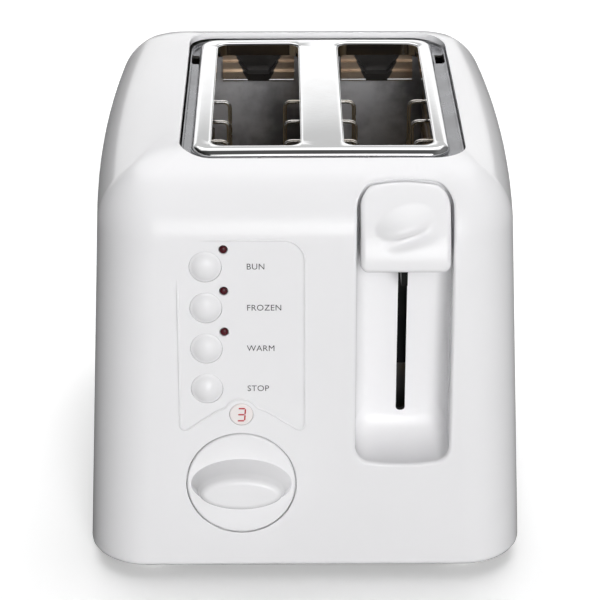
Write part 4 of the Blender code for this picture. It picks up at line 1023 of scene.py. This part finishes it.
def makeKnob():
    k = knobSizes
    radius, place = knobRadius(), faceSpot("knob_shaft")
    dish, deep = k["dish"], k["wellDepth"]
    profile = [(0, -dish), (radius * 0.4, -dish * 0.95), (radius * 0.7, -dish * 0.55), (radius * 0.88, 0)]
    profile += roundedEdge(radius, 0.0002, k["edgeRound"], [0.26 * i for i in range(7)])
    profile += [(radius, -deep), (0.0035, -deep), (0, -deep)]
    disc = turned("browningKnobDisc", profile, k["steps"], place, finish["glossWhite"], 40)
    stand(disc, "browning_knob", "browning_knob", "browning_knob")
    grip = loft("browningKnobGrip", knobGripRings(radius, place), finish["glossWhite"], (True, False), 50)
    stand(grip, "browning_knob", "browning_knob")
    print("browning knob made")


# push buttons, their lamps, the digit display, the printed words and the raised outline round them

buttonSizes = {
    "radius": 0.00665,
    "hole": 0.00674,
    "dome": 0.0023,
    "edgeRound": 0.0007,
    "deep": 0.0060,
    "steps": 64,
}
lampSizes = {"radius": 0.0016, "hole": 0.0019, "dome": 0.00085, "deep": 0.0040}
displaySizes = {"radius": 0.0050, "hole": 0.00508, "proud": 0.0002, "edgeRound": 0.0006, "deep": 0.0030}
digitSizes = {"high": 0.0056, "wide": 0.0031, "bar": 0.00062, "slant": 0.08, "lifts": (0.00012, 0.00026)}
words = {"bagel": "BUN", "defrost": "FROZEN", "reheat": "WARM", "cancel": "STOP"}
lampNames = ("bagel", "defrost", "reheat")
wordSizes = {
    "start": -0.0246,
    "capHeight": 0.0027,
    "capShare": 0.73,  # of the letter height in the type's size
    "space": 1.06,
    "lift": 0.00004,
    "thick": 0.00003,
}


def makeButton(name):
    b = buttonSizes
    node = name + "_button"
    radius, dome, edge = b["radius"], b["dome"], b["edgeRound"]
    ball = ((radius - edge) ** 2 + dome**2) / (2 * dome)  # radius of the domed top
    profile = [(0, dome)]
    for i in range(1, 11):
        r = (radius - edge) * i / 10
        profile.append((r, dome - (ball - math.sqrt(ball**2 - r * r))))
    profile += roundedEdge(radius, 0, edge, (0.4, 0.8, 1.2, 1.57), 0.6)
    profile += [(radius, -b["deep"]), (0, -b["deep"])]
    cap = turned(name + "ButtonCap", profile, b["steps"], faceSpot(node), finish["glossWhite"], 42)
    stand(cap, node, node, node)


def makeLamp(name):
    node = name + "_lamp"
    radius, dome, deep = lampSizes["radius"], lampSizes["dome"], lampSizes["deep"]
    profile = [(0, dome)]
    profile += [(radius * math.sin(t), dome * math.cos(t)) for t in [0.196 * i for i in range(1, 9)]]
    profile += [(radius, -deep), (0, -deep)]
    lens = turned(name + "LampLens", profile, 32, faceSpot(node), finish["lampLens"], 50)
    stand(lens, "toaster", node, node)


def makeDisplay():
    node = "display_lens"
    d = displaySizes
    radius, proud = d["radius"], d["proud"]
    profile = [(0, proud), (radius - 0.0010, proud)]
    profile += roundedEdge(radius, proud, d["edgeRound"], (0, 0.5, 1.0, 1.57))
    profile += [(radius, -d["deep"]), (0, -d["deep"])]
    lens = turned("displayWindow", profile, 48, faceSpot(node), finish["windowWhite"], 40)
    stand(lens, "toaster", node, node)


def makeDigit():
    # bars with pointed ends, as on a seven-bar display
    place = faceSpot("display_lens")
    wide, high, bar = digitSizes["wide"] / 2, digitSizes["high"] / 2, digitSizes["bar"]
    bars = [((-wide, y), (wide, y)) for y in (high, 0, -high)]
    bars += [((wide, high), (wide, 0)), ((wide, 0), (wide, -high))]
    points, faces = [], []
    for (ax, ay), (bx, by) in bars:
        length = math.hypot(bx - ax, by - ay)
        ux, uy = (bx - ax) / length, (by - ay) / length
        gap = bar * 0.18
        outline = [(gap, 0), (gap + bar / 2, bar / 2), (length - gap - bar / 2, bar / 2), (length - gap, 0)]
        outline += [(length - gap - bar / 2, -bar / 2), (gap + bar / 2, -bar / 2)]
        start = len(points)
        for lift in digitSizes["lifts"]:
            for along, across in outline:
                x, y = ax + ux * along - uy * across, ay + uy * along + ux * across
                points.append(place @ Vector((x + y * digitSizes["slant"], y, lift)))
        faces.append([start + 6 + i for i in range(6)])
        faces += [(start + i, start + (i + 1) % 6, start + 6 + (i + 1) % 6, start + 6 + i) for i in range(6)]
    digit = meshPiece("digitBars", points, faces, finish["digitGlow"])
    stand(digit, "toaster", "digit_module")


def makeWord(name):
    spot = faceMatrix.inverted() @ faceSpot(name + "_button").translation
    text = bpy.data.curves.new(name + "Word", "FONT")
    text.body = words[name]
    text.size = wordSizes["capHeight"] / wordSizes["capShare"]
    text.extrude = wordSizes["thick"]
    text.align_x, text.align_y = "LEFT", "CENTER"
    text.space_character = wordSizes["space"]
    holder = bpy.data.objects.new(name + "Holder", text)
    scene.collection.objects.link(holder)
    holder.matrix_world = faceMatrix @ Matrix.Translation((wordSizes["start"], spot.y, wordSizes["lift"]))
    bpy.context.view_layer.update()
    mesh = bpy.data.meshes.new_from_object(holder.evaluated_get(bpy.context.evaluated_depsgraph_get()))
    mesh.transform(holder.matrix_world)
    bpy.data.objects.remove(holder)
    printed = bpy.data.objects.new(name + "Word", mesh)
    scene.collection.objects.link(printed)
    mesh.materials.clear()
    mesh.materials.append(finish["printInk"])
    stand(printed, "toaster", "housing")


outlineSizes = {
    "left": -0.0532,
    "right": -0.0004,
    "top": 0.1556,
    "bottom": 0.0700,
    "width": 0.0013,
    "height": 0.00045,
    "topCorner": 0.0088,
    "lowCorner": 0.0022,
    "lowCornerUp": 0.0026,
    "displayRound": 0.0072,  # radius of the part that passes over the display
    "displayFoot": (0.0098, 0.0020),
}


def outlinePath():
    # (x, up the face) points: along the top, down the right side, over the display and up the left
    o = outlineSizes
    spot = faceMatrix.inverted() @ faceSpot("display_lens").translation
    top, bottom = [(z - foot) / math.cos(form["faceLean"]) for z in (o["top"], o["bottom"])]
    left, right, high, low = o["left"], o["right"], o["topCorner"], o["lowCorner"]
    lowY = bottom + o["lowCornerUp"]
    across, up = o["displayFoot"]
    path = [(left + 0.008, top)]
    path += arc(right - high, top - high, high, 90, 0, 12)
    path += arc(right - low, lowY, low, 0, -110, 8)
    path.append((spot.x + across, spot.y + up))
    path += arc(spot.x, spot.y, o["displayRound"], 25, 155, 16)
    path.append((spot.x - across, spot.y + up))
    path += arc(left + low, lowY, low, -70, -180, 8)
    path.append((left, top - 0.016))
    return path


def evenPath(path, step, rounds):
    # the path with even steps, its corners eased a little
    dense = []
    for (ax, ay), (bx, by) in zip(path, path[1:]):
        count = max(1, round(math.hypot(bx - ax, by - ay) / step))
        dense += [(ax + (bx - ax) * i / count, ay + (by - ay) * i / count) for i in range(count)]
    dense.append(path[-1])
    for _ in range(rounds):
        eased = []
        for a, b, c in zip(dense, dense[1:], dense[2:]):
            eased.append(((a[0] + 2 * b[0] + c[0]) / 4, (a[1] + 2 * b[1] + c[1]) / 4))
        dense = [dense[0], *eased, dense[-1]]
    return dense


def makeOutline():
    o = outlineSizes
    path = evenPath(outlinePath(), 0.0006, 5)
    points, faces = [], []
    across = 8
    last = len(path) - 1
    for i, (x, y) in enumerate(path):
        ax, ay = path[max(0, i - 1)]
        bx, by = path[min(last, i + 1)]
        length = math.hypot(bx - ax, by - ay)
        nx, ny = -(by - ay) / length, (bx - ax) / length
        fade = min(1, i / 14, (last - i) / 14)
        for j in range(across + 1):
            share = j / across * 2 - 1
            lift = o["height"] * fade * (0.5 + 0.5 * math.cos(math.pi * share)) - 0.00003
            offset = share * o["width"] / 2
            points.append(faceMatrix @ Vector((x + nx * offset, y + ny * offset, lift)))
    for i in range(last):
        for j in range(across):
            a = i * (across + 1) + j
            faces.append((a, a + 1, a + across + 2, a + across + 1))
    bead = meshPiece("panelOutline", points, faces, finish["glossWhite"], 60)
    stand(bead, "toaster", "housing")


def makeControls():
    for name in words:
        makeButton(name)
        makeWord(name)
        if name in lampNames:
            makeLamp(name)
    makeDisplay()
    makeDigit()
    makeOutline()
    print("controls made")


# the wires that hold the bread, bent to tuck under the bezel

guardSizes = {
    "wire": 0.0009,
    "bends": ((-0.0632, -0.0386), (-0.0145, 0.0112), (0.0420, 0.0570)),
    "bendRadius": 0.0030,
    "inset": 0.0008,  # of the wire's middle from its room
    "lowPair": 0.040,  # the rearmost pair stops this far below the others
}


def softPath(points, radius):
    # rounds the corners of a bent wire
    made = [Vector(points[0])]
    for a, b, c in zip(points, points[1:], points[2:]):
        a, b, c = Vector(a), Vector(b), Vector(c)
        before, after = (a - b), (c - b)
        reach = min(radius, before.length * 0.45, after.length * 0.45)
        start, end = b + before.normalized() * reach, b + after.normalized() * reach
        for i in range(6):
            t = i / 5
            made.append(start * (1 - t) ** 2 + b * 2 * t * (1 - t) + end * t * t)
    made.append(Vector(points[-1]))
    return made


def wirePiece(name, points, radius, material, sides=10):
    # a round wire swept along the points
    rings = []
    side = None
    turns = [2 * math.pi * j / sides for j in range(sides)]
    for i, point in enumerate(points):
        ahead = points[min(i + 1, len(points) - 1)] - points[max(i - 1, 0)]
        ahead.normalize()
        if side is None:
            side = ahead.orthogonal().normalized()
        else:
            side = (side - ahead * side.dot(ahead)).normalized()
        other = ahead.cross(side)
        rings.append([point + (side * math.cos(t) + other * math.sin(t)) * radius for t in turns])
    return loft(name, rings, material, (True, True), 60)


def makeGuard(node, outwards):
    g = guardSizes
    low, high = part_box(node)
    inset = g["inset"]
    upright = low.x + inset if outwards else high.x - inset
    tuck = high.x - inset if outwards else low.x + inset
    foot, head = low.z + inset, high.z - inset
    points = [(upright, low.y + inset, foot)]
    for i, (first, second) in enumerate(g["bends"]):
        crest = head - (g["lowPair"] if i == 2 else 0)
        points += [(upright, first, foot), (upright, first, crest), (tuck, first, crest)]
        points += [(tuck, second, crest), (upright, second, crest), (upright, second, foot)]
    points.append((upright, high.y - inset, foot))
    wire = wirePiece(node + "Wire", softPath(points, g["bendRadius"]), g["wire"], finish["brightWire"])
    stand(wire, node, node, node)


def makeGuards():
    for slotSide in ("left", "right"):
        for side in ("left", "right"):
            makeGuard(f"{slotSide}_slot_{side}_guard", side == "right")
    print("bread guards made")


# plain carried-over parts take a finish by name

corners = ("front_left", "front_right", "back_left", "back_right")
carriedOver = {
    "darkSteel": ("chassis_front_plate", "left_heat_shield", "right_heat_shield"),
    "spangledSteel": ("chassis_rear_plate",),
    "warmSteel": ("left_bread_stop", "right_bread_stop"),
    "pressedSteel": ("crumb_tray", "magnet_core", "magnet_keeper"),
    # painted shade: the carriage bracket is made near black, as the dark seen through the lever slot
    "paintedShadeSteel": ("carriage_bracket",),
    "brightWire": ("left_bread_rack", "right_bread_rack", "guide_rod", "carriage_spring", "knob_shaft"),
    "heatRibbon": ("left_heating_wire", "centre_heating_wire", "right_heating_wire"),
    "micaSheet": ("left_mica_board", "centre_mica_board", "right_mica_board"),
    "circuitBoard": ("control_board", "power_board"),
    "copperWinding": ("magnet_coil",),
    "baseWhite": ("base_plate",),
    "blackMouldingAndPaintedShade": (
        "browning_control", "bagel_switch", "defrost_switch", "reheat_switch", "cancel_switch",
        "digit_module", "terminal_block", "transformer", "carriage_bush",
    ),
    "screwSteel": tuple(corner + "_base_screw" for corner in corners),
}


def finishCarriedOver():
    for name, members in carriedOver.items():
        for node in members:
            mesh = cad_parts[node].data
            mesh.materials.clear()
            mesh.materials.append(finish[name])
    print("inner parts finished:", sum(len(members) for members in carriedOver.values()))


stopSizes = {"bead": 0.00055, "innerEnds": 0.0052, "outerEnds": 0.0168}


def makeStopBeads():
    # bright folded edges along the lower step of the bread stops
    for name in ("left", "right"):
        low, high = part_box(name + "_bread_stop")
        middle = (low.x + high.x) / 2
        for side in (-1, 1):
            near, far = middle + side * stopSizes["innerEnds"], middle + side * stopSizes["outerEnds"]
            points = [Vector((near + (far - near) * i / 6, low.y + 0.0002, low.z + 0.0007)) for i in range(7)]
            bead = wirePiece(f"{name}StopBead{side + 2}", points, stopSizes["bead"], finish["chrome"])
            stand(bead, "toaster", name + "_bread_stop")
    print("bread stop edges made")


footSizes = {
    "neckFoot": 0.0040,  # where the neck widens into the pad
    "flare": 0.0022,
    "edgeRound": 0.0018,
    "hollow": 0.0007,
}


def makeFeet():
    f = footSizes
    edge, hollow = f["edgeRound"], f["hollow"]
    for corner in corners:
        node = corner + "_foot"
        low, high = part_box(node)
        neck = (high.x - low.x) / 2
        radius = neck + f["flare"]
        profile = [(0, high.z), (neck, high.z), (neck, f["neckFoot"])]
        profile += [(radius - 0.0006, 0.0030), (radius - 0.0004, 0.0024)]
        turns = (0, 0.4, 0.8, 1.2, 1.57)
        profile += [(neck + edge * math.cos(t), edge - edge * math.sin(t)) for t in turns]
        profile += [(radius * 0.62, 0), (radius * 0.58, hollow), (radius * 0.3, hollow), (0, hollow)]
        place = Matrix.Translation(((low.x + high.x) / 2, (low.y + high.y) / 2, 0))
        pad = turned(corner + "FootPad", profile, 48, place, finish["footRubber"], 45)
        stand(pad, "toaster", node, node)
    print("feet made")


handleSizes = {
    "edgeRound": 0.0022,
    "corner": 0.0042,
    "leastCorner": 0.0012,
    "grooveWall": 0.0016,
    "grooveHigh": 0.0035,
}


def makeTrayHandle():
    # a soft-edged bar with a finger groove under it
    h = handleSizes
    low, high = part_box("tray_handle")
    centre = ((low.x + high.x) / 2, (low.z + high.z) / 2)
    halfX, halfZ, soft = (high.x - low.x) / 2, (high.z - low.z) / 2, h["edgeRound"]
    steps = [(low.y, 0.0), (high.y - soft, 0.0)]
    turns = [0.196 * i for i in range(1, 9)]
    steps += [(high.y - soft * (1 - math.sin(t)), -soft * (1 - math.cos(t))) for t in turns]
    rings = []
    for y, grow in steps:
        corner = max(h["leastCorner"], h["corner"] + grow)
        outline = roundedOutline(halfX + grow, halfZ + grow, corner, 8, 24, 1, centre)
        rings.append([(x, y, z) for x, z in outline])
    bar = loft("trayHandleBar", rings, finish["glossWhite"])
    wall = h["grooveWall"]
    start = (centre[0] - halfX * 0.8, low.y + wall, low.z - 0.01)
    end = (centre[0] + halfX * 0.8, high.y - wall, low.z + h["grooveHigh"])
    carve(bar, boxCutter("handleGroove", start, end))
    settle(bar, 40)
    stand(bar, "crumb_tray", "tray_handle", "tray_handle")
    print("tray handle made")


cordBushSizes = {"hole": 0.0063, "neck": 0.0060, "bore": 0.0036, "edgeRound": 0.0008, "flange": 0.0016}


def makeCordBush():
    c = cordBushSizes
    low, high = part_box("cord_bush")
    place = Matrix.Translation(boxMiddle("cord_bush")) @ Matrix.Rotation(-math.pi / 2, 4, "X")
    half, outer = (high.y - low.y) / 2, (high.x - low.x) / 2
    bore, edge, neck = c["bore"], c["edgeRound"], c["neck"]
    profile = [(bore, -half), (neck, -half), (neck, half - c["flange"] - 0.0003), (outer, half - c["flange"])]
    turns = (0, 0.5, 1.0, 1.57)
    profile += [(outer - edge + edge * math.cos(t), half - edge + edge * math.sin(t)) for t in turns]
    profile += [(bore + 0.0006, half), (bore, half - 0.0006)]
    bush = turned("cordBushRing", profile, 48, place, finish["blackMouldingAndPaintedShade"], 45, closed=True)
    stand(bush, "toaster", "cord_bush", "cord_bush")
    print("cord bush made")


placeCamera(bodyY - halfLength)
lightWorld()
makeHousing()
makeBezel()
makeLever()
makeKnob()
makeControls()
makeGuards()
finishCarriedOver()
makeStopBeads()
makeFeet()
makeTrayHandle()
makeCordBush()
makeFloor()
